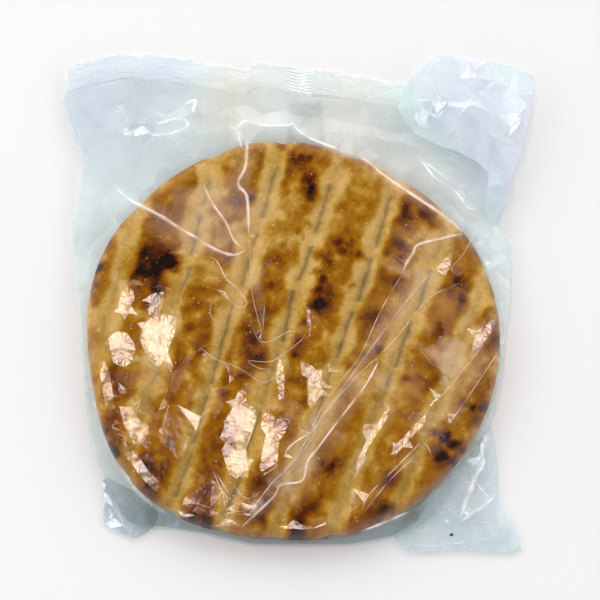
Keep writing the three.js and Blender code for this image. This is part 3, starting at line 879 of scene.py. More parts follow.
# The flat facets that mirror the bright light, seen as glints, and those that only mirror a dim one.
GLINT_RINGS = (
    [(-77, 23), (-72, 23.5), (-72, 17.5), (-75, 11), (-76.5, 8), (-79.5, 13.5), (-78.5, 19)],
    [(-64, 20), (-58, 21), (-59, 15.5), (-60.5, 11), (-63, 9.5), (-66, 10), (-64.5, 15.5)],
    [(-67, 7), (-63.5, 9), (-56.5, 10), (-52.5, 8.5), (-53, 0.5), (-55.5, -5), (-57, -11), (-60.5, -14.5),
     (-66, -9), (-69, -1)],
    [(-83.5, -0.5), (-80.5, 2.5), (-75, 1.5), (-72, -3.5), (-71, -7), (-72.5, -12), (-76, -14.5),
     (-81, -12), (-83, -7)],
    [(-78, -32.5), (-72.5, -33), (-69, -38.5), (-66, -42.5), (-68.5, -49), (-71, -50.5), (-75.5, -40.5)],
    [(-23.5, -25.5), (-20.5, -25.5), (-19.5, -30.5), (-15.5, -33.5), (-15, -38.5), (-17.5, -45),
     (-20, -51.5), (-23.5, -53.5), (-32, -47), (-29.5, -39.5), (-26, -32.5)],
    [(-12.5, -36), (-9, -35.5), (-6, -38), (0, -39), (-1.5, -44), (-4.5, -48.5), (-5.5, -58), (-12.5, -62.5),
     (-14, -61), (-11, -46), (-13.5, -42)],
    [(-5.5, -12), (-3, -13), (-2.5, -21), (-3, -28), (-5, -29.5), (-6.5, -19)],
    [(8.5, -12.5), (10, -16.5), (10, -22), (13, -16), (14.5, -16), (13.5, -28), (10, -34.5), (8.5, -31.5),
     (8, -19.5)],
    [(7.5, 12), (9.5, 13), (9.5, 0), (8.5, -0.5)],
    [(-31.5, -52.5), (-26.5, -55.5), (-16, -57), (-18.5, -60.5), (-24, -65), (-28, -62.5)],
    [(-51.5, -79), (-42, -82), (-48.5, -82.5)],
    [(-32, -85.5), (-28.5, -82.5), (-23.5, -86), (-30, -87)],
    [(-5, -86.5), (6, -86.5), (11, -87), (16.5, -84.5), (17, -86), (12, -88.5), (-2.5, -88)],
    [(-12.5, -63), (-7, -58.5), (-5.5, -59.5), (-11.5, -64.5)],
    [(45, -31.5), (46, -33), (44.5, -38.5), (36, -51), (31, -61.5), (29.5, -61.5), (32.5, -52.5), (42, -37)],
    [(61, -36), (63.5, -36.5), (61, -41), (48, -54.5), (45, -55), (48.5, -50)],
    [(63.5, -31), (69.5, -27.5), (64, -33)],
    [(86, 2.5), (93, 7), (94, 6.5), (93.5, 2.5), (89, -4), (83.5, -7.5)],
    [(75.5, 40), (74.5, 32.5), (67.5, 32), (71, 35.5)],
    [(-80.5, 99), (-69.5, 103.5), (-68, 99), (-75, 98)],
)
VEIL_RINGS = (
    [(58.5, -5), (80.5, -2), (82, -6), (77, -20), (71.5, -18), (63, -9.5)],
    [(-54.5, -26), (-49, -10.5), (-45, -6.5), (-42.5, -6.5), (-46.5, -13), (-51, -26), (-53, -28.5)],
    [(-18, 46), (-13, 22.5), (-13, 12.5), (-13.5, 6.5), (-15, 11.5), (-17, 23)],
    [(-60, -17.5), (-56.5, -13), (-54.5, -17), (-56, -26), (-64, -28), (-72, -24), (-76, -17), (-68.5, -13)],
    [(-92.5, 19.5), (-90.5, 13.5), (-89, -7), (-89.5, -14.5), (-91.5, -7), (-92.5, 12.5)],
    [(-35.5, -26), (-28, -22), (-31, -35), (-34.5, -39), (-37, -34)],
    [(-4, -30), (0, -28.5), (5.5, -31.5), (7.5, -35), (1.5, -36.5), (-2.5, -35)],
    [(-65, -32), (-60, -34), (-60, -44), (-64, -45)],
)
# The dim light on the other side: its middle, also used for the lamp below.
VEIL_SPOT = Vector((330.0, 190.0, 1150.0))
body_facets = [Facet(ring, mirror_slope(ring, GLINT_SPOT), body_base) for ring in GLINT_RINGS]
body_facets += [Facet(ring, mirror_slope(ring, VEIL_SPOT), body_base) for ring in VEIL_RINGS]


def crumple(x, y, reach, seed):
    """An uneven value either side of 0 that changes over about that reach."""
    return noise.fractal(Vector((x / reach, y / reach, seed)), 0.7, 2.1, 3)


LOOSE_BESIDE = 0.5
LOOSE_LEAST = 0.10
LOOSE_MORE = 0.24  # the film is this much looser at the folded end, on its left side
CALM_SPOT = (-55, -63)  # here the film lies smooth on a toasted patch
CALM_RADIUS = 15


def slackness(x, y):
    """How crumpled the top film is: 0 where it lies smooth, and most beside the bread."""
    if rim_depth(x, y) < -1:
        return LOOSE_BESIDE
    slack = unit((12 - y) / 50)
    side = unit(1 - (x + 0.3 * y) / 90)
    calm = math.exp(-((x - CALM_SPOT[0]) ** 2 + (y - CALM_SPOT[1]) ** 2) / CALM_RADIUS ** 2)
    return (LOOSE_LEAST + LOOSE_MORE * slack * side) * (1 - calm)


CRUMPLE_HEIGHT = 1.1
LOW_CRUMPLE = 0.25
EDGE_EASE = 12  # folds and crumples fade out over this distance to the bag's edge


def body_top(x, y):
    """The height of the top film, with its facets, folds and crumples."""
    for facet in body_facets:
        if facet.holds(x, y):
            return facet.at(x, y) + FACET_WOBBLE * noise.noise(Vector((x / 7, y / 7, 21.0)))
    base = body_base(x, y)
    gap, _ = edge_place(x, y, body_outline)
    ease = min(1.0, gap / EDGE_EASE)
    lift = CRUMPLE_HEIGHT * slackness(x, y) * abs(crumple(x, y, 9, 3.0))
    best = 0.0
    for fold in BODY_FOLDS:
        reach, share = fold.at(x, y)
        if reach < fold.reach:
            best = max(best, fold.height * share * (1 - reach / fold.reach) ** 1.3)
    return base + ease * (best + lift * (1 - min(1.0, best / 0.8)))


def body_low(x, y):
    """The height of the lower film, flat under the bread and rising to the bag's edge."""
    gap, edge = edge_place(x, y, body_outline)
    depth = rim_depth(x, y)
    if depth > -2:
        return FILM_UNDER
    share = min(1.0, gap / (gap - depth - 2 + 1e-6))
    lift = edge - FILM_UNDER
    ruck = LOW_CRUMPLE * abs(crumple(x, y, 8, 7.0)) * min(1, gap / 5)
    return FILM_UNDER + lift * (1 - share) ** 1.6 + ruck


def body_spacing(x, y):
    """How far apart the top film's small crumples lie: closest round the glints."""
    if rim_depth(x, y) < 1:
        return 5.0
    if any(facet.near(x, y, 4) for facet in body_facets):
        return 2.8
    return 11 - 6.5 * slackness(x, y) / 0.7


def ring_line(inset, step):
    """A closed line round the bread at that depth in from its outline."""
    count = int(2 * math.pi * BREAD_RADIUS / step)
    line = []
    for k in range(count):
        angle = 2 * math.pi * k / count
        radius = bread_outline(angle) - inset
        line.append((radius * math.cos(angle), radius * math.sin(angle)))
    return line


# Where the film lies folded double over the bread and is hazier: each ring and its haze.
DOUBLE_FILM = (
    ([(54, 33), (43, 12), (33, -9), (23, -22), (13, -36), (1, -56), (-17, -79), (-22, -87), (-6, -70),
      (4, -67), (10, -56), (31, -18), (48, 6), (62, 24), (66, 31)], 0.13),
    ([(59, -5), (80, -2), (82, -6), (77, -20), (71, -18), (63, -9)], 0.16),
    ([(-41, 73), (-36, 63), (-30, 54), (-25, 44), (-22, 41), (-30, 40), (-44, 47), (-60, 57),
      (-52, 70)], 0.07),
    ([(-18, 46), (-13, 22), (-13, 5), (-17, 23)], 0.10),
    ([(86, 5), (94, 7), (90, -14), (74, -40), (60, -48), (62, -38), (78, -17)], 0.08),
)
# Painted sheen round the bread's rim, where the film bends over its shoulder and mirrors the light.
RIM_SHEEN = 0.11
RIM_SHEEN_WIDTH = 5
MIST_MOST = 0.36


def body_mist(x, y):
    """How hazy the film is: over the bread only where it lies double, plus a painted sheen at the rim,
    and misted beside the bread, with the mist thinned towards the bottom as painted shade."""
    depth = rim_depth(x, y)
    if depth > -0.5:
        double = max([haze for ring, haze in DOUBLE_FILM if inside(x, y, ring)], default=0.0)
        return double + RIM_SHEEN * max(0.0, 1 - depth / RIM_SHEEN_WIDTH)
    # Painted shade: the mist thins towards the bottom, so that the film beside the bread darkens there.
    towards_seal = unit((y + 82) / 75)
    return MIST_MOST * (0.15 + 0.85 * towards_seal) * (0.85 + 0.45 * crumple(x, y, 20, 11.0))


body_lines = [(ring_line(9, 7), True), (ring_line(4.5, 6), True), (ring_line(1, 6), True)]
top_points, top_faces = film_layer(body_outline, body_top, BODY_FOLDS, body_facets, body_lines,
                                   body_spacing, 11)
low_points, low_faces = film_layer(body_outline, body_low, (), (), [(ring_line(-2.2, 8), True)],
                                   lambda x, y: 30 if rim_depth(x, y) > 0 else 8, 12)
film_body = film_skin("film_body", body_outline,
                      [(top_points, top_faces, True), (low_points, low_faces, False)],
                      haze_with(BODY_FOLDS, body_mist), film_tone)
creased.append((film_body, BODY_FOLDS))


LAVENDER = (0.86, 0.90, 1.0)
BEIGE = (0.98, 0.92, 0.84)
OVER_BREAD = (1.0, 0.885, 0.80)  # painted warmth: what the film mirrors and scatters is tinted as though lit by the bread under it
BREAD_ENDS = 92 * MM  # this warmth fades out between these distances from the bread's middle
WARMTH_ENDS = 98 * MM
GLOSS_ROUGHNESS = 0.18
RIPPLE_SCALE = 150
RIPPLE_STRENGTH = 0.38
RIPPLE_DEPTH = 0.6 * MM
MIST_SCALE = 38
STEEPNESS = 4  # how fast the mirroring rises towards a slant
SLANT_SHINE = 3  # and how many times stronger it gets there


def film_material(name, tint, haze_colour, haze, shine=0.028, mist=0.0, warm=OVER_BREAD):
    """Clear glossy film: lets light through with a faint tint, mirrors more at a slant, is whitened
    where it is creased, partly as painted highlight, and carries cloudy mist where the film is slack."""
    material = paint(name, {})
    material.node_tree.nodes.clear()
    link = material.node_tree.links.new
    place = add_node(material, "ShaderNodeTexCoord")

    # The hue of what it mirrors and scatters: a painted warmth from the bread over the bread, and beside it
    # the painted lavender or beige of what it mirrors.
    far_out = add_node(material, "ShaderNodeVectorMath", operation="LENGTH")
    beside = add_node(material, "ShaderNodeMapRange", {"From Min": BREAD_ENDS, "From Max": WARMTH_ENDS})
    tone = add_node(material, "ShaderNodeAttribute", attribute_name="tone")
    tone_share = add_node(material, "ShaderNodeMapRange", {"From Min": -1})
    hues = add_node(material, "ShaderNodeValToRGB")
    fill_ramp(hues, ((0.0, LAVENDER), (0.5, haze_colour), (1.0, BEIGE)))
    lit = add_node(material, "ShaderNodeMix", {"A": (*warm, 1)}, data_type="RGBA")
    link(place.outputs["Object"], far_out.inputs[0])
    link(far_out.outputs["Value"], beside.inputs["Value"])
    link(tone.outputs["Fac"], tone_share.inputs["Value"])
    link(tone_share.outputs["Result"], hues.inputs["Fac"])
    link(hues.outputs["Color"], lit.inputs["B"])
    link(beside.outputs["Result"], lit.inputs["Factor"])

    # The mirroring, with a faint ripple, weak where the film is seen straight on and strong at a slant.
    gloss = add_node(material, "ShaderNodeBsdfGlossy", {"Roughness": GLOSS_ROUGHNESS},
                     distribution="BECKMANN")
    ripple = add_node(material, "ShaderNodeTexNoise",
                      {"Scale": RIPPLE_SCALE, "Detail": 2, "Roughness": 0.45})
    bump = add_node(material, "ShaderNodeBump", {"Strength": RIPPLE_STRENGTH, "Distance": RIPPLE_DEPTH})
    slant = add_node(material, "ShaderNodeLayerWeight", {"Blend": 0.5})
    steep = add_node(material, "ShaderNodeMath", {1: STEEPNESS}, operation="POWER")
    mirror = add_node(material, "ShaderNodeMath", {1: SLANT_SHINE * shine, 2: shine},
                      operation="MULTIPLY_ADD", use_clamp=True)
    link(lit.outputs["Result"], gloss.inputs["Color"])
    link(place.outputs["Object"], ripple.inputs["Vector"])
    link(ripple.outputs["Fac"], bump.inputs["Height"])
    link(bump.outputs["Normal"], gloss.inputs["Normal"])
    link(bump.outputs["Normal"], slant.inputs["Normal"])
    link(slant.outputs["Facing"], steep.inputs[0])
    link(steep.outputs["Value"], mirror.inputs[0])

    # The haze: cloudy mist in the slack film, and white along its creases, partly stress whitening and partly
    # painted highlight.
    milk = add_node(material, "ShaderNodeBsdfDiffuse")
    cloud = add_node(material, "ShaderNodeTexNoise", {"Scale": MIST_SCALE, "Detail": 4, "Distortion": 0.6})
    misty = add_node(material, "ShaderNodeMapRange",
                     {"From Min": 0.42, "From Max": 0.72, "To Min": haze, "To Max": haze + mist})
    white = add_node(material, "ShaderNodeAttribute", attribute_name="white")
    haze_sum = add_node(material, "ShaderNodeMath", {1: 0.95}, operation="MULTIPLY_ADD", use_clamp=True)
    link(lit.outputs["Result"], milk.inputs["Color"])
    link(place.outputs["Object"], cloud.inputs["Vector"])
    link(cloud.outputs["Fac"], misty.inputs["Value"])
    link(white.outputs["Fac"], haze_sum.inputs[0])
    link(misty.outputs["Result"], haze_sum.inputs[2])

    clear = add_node(material, "ShaderNodeBsdfTransparent", {"Color": (*tint, 1)})
    milky = add_node(material, "ShaderNodeMixShader")
    glossed = add_node(material, "ShaderNodeMixShader")
    output = add_node(material, "ShaderNodeOutputMaterial")
    link(haze_sum.outputs["Value"], milky.inputs["Fac"])
    link(clear.outputs["BSDF"], milky.inputs[1])
    link(milk.outputs["BSDF"], milky.inputs[2])
    link(mirror.outputs["Value"], glossed.inputs["Fac"])
    link(milky.outputs["Shader"], glossed.inputs[1])
    link(gloss.outputs["BSDF"], glossed.inputs[2])
    link(glossed.outputs["Shader"], output.inputs["Surface"])
    return material


film = film_material("film", (0.89, 0.93, 0.94), (0.93, 1.0, 1.0), 0.003)
film_body.data.materials.append(film)
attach(film_body, "root")
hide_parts("bag")


# ------------------------------------------------------------------------------------- the moisture
# Fine specks of condensed moisture and flour dust on the film, as small domes on its surface. They
# lie mostly over the bread, and most thickly on its upper half.
SPECK_COUNT = 900
SPECK_LEAST = 0.10
SPECK_MOST = 0.32
SPECK_FLATNESS = 0.5
SPECK_LOWEST = 2.5
DROP_FROM = 50  # things are dropped onto the film from this height


def landing(holder, x, y):
    """The spot where something dropped at x, y lands on a piece, or None where it falls past."""
    hit, spot, _, _ = holder.ray_cast(Vector((x * MM, y * MM, DROP_FROM * MM)), Vector((0, 0, -1)))
    return spot if hit else None


speck_rng = random.Random(77)
moisture_mesh = bmesh.new()
specks = 0
while specks < SPECK_COUNT:
    x = speck_rng.uniform(-96, 102)
    y = speck_rng.uniform(-92, 112)
    size = SPECK_LEAST + (SPECK_MOST - SPECK_LEAST) * speck_rng.random() ** 3
    if speck_rng.random() > 0.35 + 0.65 * (rim_depth(x, y) > 0) * (0.5 + 0.5 * (y > -20)):
        continue
    spot = landing(film_body, x, y)
    if spot is None or spot.z < SPECK_LOWEST * MM:
        continue
    made = bmesh.ops.create_icosphere(moisture_mesh, subdivisions=1, radius=size * MM)
    bmesh.ops.scale(moisture_mesh, verts=made["verts"], vec=(1, 1, SPECK_FLATNESS))
    bmesh.ops.translate(moisture_mesh, verts=made["verts"], vec=spot)
    specks += 1
moisture = piece_of("moisture", moisture_mesh)
droplet = paint("droplet", {"Base Color": (0.86, 0.80, 0.68, 1), "Roughness": 0.3, "Alpha": 0.75})
moisture.data.materials.append(droplet)
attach(moisture, "root")
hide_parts("bag")


# ------------------------------------------------------------------------------------- the back of the bag
# Underneath, the film's two long edges are welded into a flat fin down the middle, and the bottom end
# is folded flat under the bread: thin strips of film that darken what they cross, the flap with painted
# shade.
FIN_LEFT = -2.0
FIN_RIGHT = 17.5
FIN_LOW = 0.02
FIN_TOP = 0.12
FLAP_OUTLINE = ((-68, -60), (-66, -85.5), (-52, -87), (-39, -89), (-17.5, -94), (5.5, -94.5), (28.5, -94),
                (47, -90.5), (58, -84), (70, -60))
FLAP_LOW = 0.16
FLAP_TOP = 0.3


def flat_strip(name, ring, low, high, material):
    """A flat piece of film with that outline, between two heights."""
    bpy.ops.object.select_all(action="DESELECT")
    bpy.ops.mesh.primitive_circle_add(vertices=len(ring), radius=1, fill_type="NGON")
    strip = bpy.context.object
    strip.name = name
    strip.data.name = name
    for vertex, (x, y) in zip(strip.data.vertices, ring):
        vertex.co = (x * MM, y * MM, low * MM)
    bpy.ops.object.mode_set(mode="EDIT")
    bpy.ops.mesh.select_all(action="SELECT")
    bpy.ops.mesh.extrude_region_move(TRANSFORM_OT_translate={"value": (0, 0, (high - low) * MM)})
    bpy.ops.mesh.select_all(action="SELECT")
    bpy.ops.mesh.normals_make_consistent(inside=False)
    bpy.ops.object.mode_set(mode="OBJECT")
    strip.data.materials.append(material)
    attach(strip, "root")
    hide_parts("bag")


under_film = film_material("under_film", (0.93, 0.94, 0.935), (0.80, 0.82, 0.80), 0.05)
fin_ring = [(FIN_LEFT, -92), (FIN_LEFT + 0.6, 0), (FIN_LEFT, 70), (FIN_LEFT + 1, 117),
            (FIN_RIGHT - 2, 116.5), (FIN_RIGHT, 70), (FIN_RIGHT - 0.8, 0), (FIN_RIGHT, -92)]
flat_strip("seam_fin", fin_ring, FIN_LOW, FIN_TOP, under_film)
# Painted shade: the folded flap's film is tinted darker, for the shade along the pack's bottom edge.
shaded_flap_film = film_material("shaded_flap_film", (0.84, 0.88, 0.90), (0.70, 0.74, 0.76), 0.08)
flat_strip("end_flap", FLAP_OUTLINE, FLAP_LOW, FLAP_TOP, shaded_flap_film)


# ------------------------------------------------------------------------------------- the ears
# The bag's loose corners, each a crumpled double film: the top right one stands folded up over the
# body, and the two lower ones stick out from under the pack, where its bottom end is folded under.
EAR_STEP = 5
EAR_EASE = 8
EAR_HEM = 5  # its two films part over this distance from its edge


def ear(name, outline, low, high, folds, rings, spacing, seed):
    """A crumpled corner of two films, between the heights low(x, y) and high(x, y)."""
    line = resample(outline, EAR_STEP, closed=True)

    def up(x, y):
        for facet in facets:
            if facet.holds(x, y):
                return facet.at(x, y) + FACET_WOBBLE * noise.noise(Vector((x / 5, y / 5, 21.0)))
        gap, edge = edge_place(x, y, line)
        ease = min(1.0, gap / EAR_EASE)
        lift = high(x, y) * (0.2 + 0.6 * abs(crumple(x, y, 12, seed + 0.5)))
        best = 0.0
        for fold in folds:
            reach, share = fold.at(x, y)
            if reach < fold.reach:
                best = max(best, fold.height * share * (1 - reach / fold.reach))
        return edge + ease * (best + lift)

    def level(x, y):
        gap, edge = edge_place(x, y, line)
        return edge + 0.5 * high(x, y) * min(1.0, gap / EAR_HEM)

    def down(x, y):
        gap, edge = edge_place(x, y, line)
        return edge - low(x, y) * min(1.0, gap / EAR_HEM)

    facets = [Facet(ring, mirror_slope(ring, GLINT_SPOT), level) for ring in rings]
    top = film_layer(line, up, folds, facets, (), spacing, seed)
    under = film_layer(line, down, (), (), (), lambda x, y: 1.4 * spacing(x, y), seed + 1)
    piece = film_skin(name, line, [(*top, True), (*under, False)], haze_with(folds, lambda x, y: 0.0),
                      film_tone)
    creased.append((piece, folds))
    return piece


cool_film = film_material("cool_film", (0.945, 0.965, 0.97), (0.82, 0.97, 0.96), 0.28, shine=0.02, mist=0.26)
ear_top_right = ear(
    "ear_top_right",
    [(55, 124, 6), (60, 129, 6.5), (66, 135, 7), (71.5, 139.5, 6), (86.5, 137, 6.5), (101, 134.5, 6.5),
     (114, 131.5, 6), (116.5, 128.5, 6), (116, 118, 8), (112.5, 101.5, 8.5), (109, 87, 8), (104, 77, 7.5),
     (104.5, 67, 6.5), (99, 60, 6), (95, 53, 6), (93, 59, 7.5), (92.5, 66.5, 8.5), (94, 79, 9), (89, 84, 9),
     (78.5, 90, 8.5), (71.5, 92, 8.5), (59.5, 98.5, 8), (51.5, 111, 7)],
    lambda x, y: 0.6, lambda x, y: 0.9,
    (Fold([(71, 137), (67.5, 131.5), (63.5, 126.5), (58, 120.5)], 0.8, 4, 0.6, 0.4),
     Fold([(56, 115), (64, 115.5), (69, 114), (75.5, 114.5), (72.5, 109), (69, 106), (62.5, 111),
           (58.5, 111.5)], 1.0, 4, 0.8, 0.5),
     Fold([(88.5, 119), (83.5, 111), (77.5, 101.5), (72.5, 95)], 1.2, 5, 0.9, 0.6),
     Fold([(95, 119.5), (87, 112.5), (80, 105.5)], 0.8, 5, 0.4),
     Fold([(114, 115), (109.5, 108.5), (103, 97.5)], 1.0, 4, 0.9, 0.6),
     Fold([(101.5, 97.5), (99.5, 92)], 0.8, 4, 0.7),
     Fold([(101, 132), (102, 125), (108, 120), (114, 116.5)], 0.6, 4, 0.7, 0.4),
     Fold([(98, 76), (99, 70.5), (103, 73)], 0.6, 3, 0.4),
     Fold([(66, 100), (75, 97), (84, 92), (90, 88)], 0.6, 4, 0.5)),
    ([(86.5, 135), (81, 127), (89.5, 126.5)], [(93.5, 122.5), (97.5, 125), (98, 124), (94, 121.5)],
     [(59, 108), (62, 110.5), (66, 108), (65, 104), (61, 103)],
     [(67, 115), (75, 114), (72.5, 110.5), (70, 108)],
     [(109, 108), (111, 110), (110, 104), (106.5, 99), (103.5, 97), (105, 101.5)]),
    lambda x, y: 10.0, 21)
ear_bottom_left = ear(
    "ear_bottom_left",
    [(-60, -80, 0.4), (-72, -70, 0.5), (-84, -64, 1.2), (-86, -66, 1.4), (-84.5, -75, 1.3),
     (-85.5, -81, 1.1), (-84.5, -84.5, 1), (-81.5, -87, 1), (-75.5, -90, 1), (-70.5, -91.5, 1),
     (-67, -90, 1), (-62, -86.5, 0.6)],
    lambda x, y: 0.1, lambda x, y: 0.8,
    (Fold([(-82.5, -72), (-81, -77), (-77.5, -81.5), (-75.5, -86), (-71, -89)], 0.6, 3, 0.9, 0.8),
     Fold([(-84, -67), (-81, -69), (-78.5, -73.5)], 0.5, 3, 0.5)),
    ([(-83, -78), (-81, -78.5), (-80.5, -82), (-82.5, -83)],), lambda x, y: 4.0, 31)
ear_bottom_right = ear(
    "ear_bottom_right",
    [(66, -70, 0.4), (80, -56, 0.5), (92, -40, 1.4), (94, -45.5, 1.6), (95.5, -60, 1.6),
     (95, -75, 1.3), (97, -79.5, 1.2), (101, -84.5, 1.1), (103.5, -91, 1), (105, -97, 1),
     (101, -98, 1), (79.5, -97.5, 1), (55, -98, 1), (50.5, -95.5, 1), (47, -90, 0.6), (54, -82, 0.4)],
    lambda x, y: 0.1, lambda x, y: 0.9,
    (Fold([(91, -42), (89, -49), (87.5, -57), (83.5, -67), (80.5, -74.5), (78, -82.5)], 0.9, 4, 1.0, 2.0),
     Fold([(85, -66), (88, -70.5), (92, -74)], 0.7, 4, 0.9, 1.2),
     Fold([(94, -71.5), (90, -76), (84, -80), (78, -84)], 0.7, 4, 1.0, 1.5),
     Fold([(78, -84.5), (85, -84), (92.5, -85)], 0.5, 3, 0.4),
     Fold([(54.5, -94.5), (66, -95), (80, -93.5), (92.5, -91), (95.5, -83.5), (93.5, -79.5)],
          0.5, 3, 0.6, 0.4),
     Fold([(78.5, -93.5), (78, -96.5)], 0.5, 3, 0.7),
     Fold([(79, -93.5), (81, -96.5)], 0.5, 3, 0.7),
     Fold([(68.5, -74.5), (74, -80), (78, -84)], 0.5, 3, 0.5),
     Fold([(74, -70), (76.5, -76.5), (78, -83.5)], 0.5, 3, 0.5)),
    ([(87.5, -48), (89, -47), (89.5, -58.5), (86, -64.5), (84, -66), (86, -58.5)],
     [(90, -63), (93, -64.5), (92.5, -65)], [(71, -83), (72, -83.5), (71.5, -86)]),
    lambda x, y: 5.0, 41)
# Painted shade: the two lower ears get copies of the ears' film with darker tints, the bottom left one
# darkest, as the pack's lower side lies in shade.
low_film = film_material("low_film", (0.91, 0.945, 0.955), (0.86, 0.95, 0.98), 0.14, mist=0.42)
shaded_film = film_material("shaded_film", (0.82, 0.865, 0.865), (0.62, 0.69, 0.70), 0.16, mist=0.2)
for piece, material in ((ear_top_right, cool_film), (ear_bottom_left, shaded_film),
                        (ear_bottom_right, low_film)):
    piece.data.materials.append(material)
    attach(piece, "root")
    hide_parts("bag")


# ------------------------------------------------------------------------------------- the crumb
# A crumb of burnt crust that broke off the bread and lies loose in the bottom right corner, seen
# through its film.
CRUMB_PLACE = (73.5, -90.0)
CRUMB_RADIUS = 0.75
bpy.ops.object.select_all(action="DESELECT")
bpy.ops.mesh.primitive_ico_sphere_add(subdivisions=3, radius=CRUMB_RADIUS * MM,
                                      location=landing(ear_bottom_right, *CRUMB_PLACE))
crumb = bpy.context.object
crumb.name = "crumb"
crumb.data.name = "crumb"
crumb.scale = (1.2, 0.9, 0.5)
bpy.ops.object.transform_apply(location=False, rotation=False, scale=True)
bpy.ops.object.shade_smooth()
burnt_crumb = paint("burnt_crumb", {"Base Color": (0.07, 0.04, 0.015, 1), "Roughness": 0.9})
crumb.data.materials.append(burnt_crumb)
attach(crumb, "root")
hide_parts("bag")


# ------------------------------------------------------------------------------------- the end seal
# The two films are pressed together between heated, ribbed jaws: a stiff band across the bag's end
# with fine ribs along it. Its cut edge is crinkled and white, and the ribs show most where the back
# fin lies under them.
SEAL_EDGE = ((-108, 134, 3.2), (-93, 138, 3.4), (-83.5, 140.5, 3.6), (-76, 141, 3.6), (-48.5, 137.5, 3.8),
             (-27.5, 133.5, 3.8), (-22, 132, 3.8), (-19, 135, 3.8), (-14.5, 136, 3.8), (-0.5, 133.5, 3.8),
             (9.5, 131, 3.8), (12, 132.5, 3.8), (21, 131.5, 4), (30, 129.5, 4), (53, 125, 4.2),
             (58, 126, 5))
SEAL_WIDTH = 12.5
SEAL_STEP = 1.2
SEAL_ROW = 0.2
SEAL_THICKNESS = 0.12
RIB_PITCH = 1.6
RIB_HEIGHT = 0.02
RIB_AT_FIN = 0.16
CUT_EDGE = 2.6  # how far in from the cut edge it is crinkled
CRINKLE = 0.45
SEAL_HAZE = 0.06
seal_line = resample(SEAL_EDGE, SEAL_STEP)
rows = int(SEAL_WIDTH / SEAL_ROW)
seal_points = []
seal_white = []
for x, y, z in seal_line:
    at_fin = max(0.0, 1 - abs(x - 2.5) / 3.2, 0.5 - abs(x - 9) / 6)
    for row in range(rows + 1):
        down = SEAL_WIDTH * row / rows
        rib = (RIB_HEIGHT + RIB_AT_FIN * min(1.0, 2 * at_fin)) * math.cos(2 * math.pi * down / RIB_PITCH)
        edge = max(0.0, 1 - down / CUT_EDGE)
        wave = 0.5 * noise.noise(Vector((x / 11, down / 8, 1.5)))
        crinkle = CRINKLE * edge * noise.noise(Vector((x / 1.9, down / 1.3, 6.0)))
        ease = min(1, (SEAL_WIDTH - down) / 3)
        seal_points.append((x * MM, (y - down) * MM, (z + rib + crinkle + wave * ease) * MM))
        streak = max(0.0, noise.fractal(Vector((x / 6, down / 1.2, 9.0)), 0.7, 2.0, 3) - 0.05)
        cloud = max(0.0, noise.noise(Vector((x / 13, down / 5, 3.0))))
        patch = 0.5 + 0.9 * noise.noise(Vector((x / 17, 2.0, 5.0)))
        seal_white.append(min(1.0, SEAL_HAZE + 0.22 * cloud + 0.8 * streak * (0.25 + edge)
                              + max(0.0, patch) * 0.55 * edge + 0.7 * at_fin * (rib > 0.04)))
seal_faces = []
for k in range(len(seal_line) - 1):
    for row in range(rows):
        a = k * (rows + 1) + row
        b = a + rows + 1
        seal_faces.append((a, a + 1, b + 1, b))
seal_mesh = bpy.data.meshes.new("end_seal")
seal_mesh.from_pydata(seal_points, [], seal_faces)
mark(seal_mesh, "white", seal_white)
mark(seal_mesh, "tone", [film_tone(x / MM, y / MM) for x, y, z in seal_points])
end_seal = smooth_piece("end_seal", seal_mesh)
thick = end_seal.modifiers.new("thickness", "SOLIDIFY")
thick.thickness = SEAL_THICKNESS * MM
thick.offset = 0
bpy.ops.object.modifier_apply(modifier=thick.name)
seal_film = film_material("seal_film", (0.93, 0.965, 0.97), (0.93, 1.0, 1.0), 0.30)
end_seal.data.materials.append(seal_film)
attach(end_seal, "root")
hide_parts("bag")


# ------------------------------------------------------------------------------------- the creases
# Where the film is creased sharply it is stretched and whitened, so every fold carries a thin white line
# along its crest, partly that whitening and partly painted highlight: a narrow raised ridge of film,
# soft at both sides and tapering to its ends.
CREASE_STEP = 1.2
CREASE_LIFT = 0.03
CREASE_TAPER = 5.0
CREASE_THICKNESS = 0.03
CREASE_PATCHINESS = 1.5
# The crease lines take a painted warmth over the bread, as though lit by it.
CREASE_WARMTH = (1.0, 0.82, 0.64)
FOLD_STEADY = 0.75
GLINT_STEADY = 0.1  # a painted highlight runs along a glint's rim only here and there
GLINT_RIM_HIGHLIGHT = 0.8
GLINT_WIDTH = 0.4


def crease(strip, layer, holder, line, white, width, steady):
    """A white strip that lies on a piece of film along a line. steady says how unbroken it is."""
    before = None
    run = 0.0
    whole = sum(math.dist(a, b) for a, b in zip(line, line[1:]))
    z = 0.0
    for k, (x, y) in enumerate(line):
        ahead, behind = line[min(k + 1, len(line) - 1)], line[max(k - 1, 0)]
        run += math.dist((x, y), behind)
        heading = Vector((ahead[0] - behind[0], ahead[1] - behind[1])).normalized()
        taper = min(1.0, 0.2 + 0.8 * min(run, whole - run) / CREASE_TAPER)
        wide = width * taper * (1 + 0.4 * noise.noise(Vector((x / 3, y / 3, 17.0))))
        patch = steady + CREASE_PATCHINESS * noise.noise(Vector((x / 7, y / 7, 3.0)))
        patch = min(1.15, max(0.0, patch))
        row = []
        for side in (-1, 0, 1):
            spot = Vector((x - heading.y * side * wide, y + heading.x * side * wide))
            found = landing(holder, spot.x, spot.y)
            z = z if found is None else found.z / MM
            vertex = strip.verts.new(Vector((spot.x, spot.y, z + CREASE_LIFT)) * MM)
            vertex[layer] = 0.0 if side else white * patch * (0.4 + 0.6 * taper)
            row.append(vertex)
        if before:
            for j in (0, 1):
                strip.faces.new((before[j], row[j], row[j + 1], before[j + 1]))
        before = row


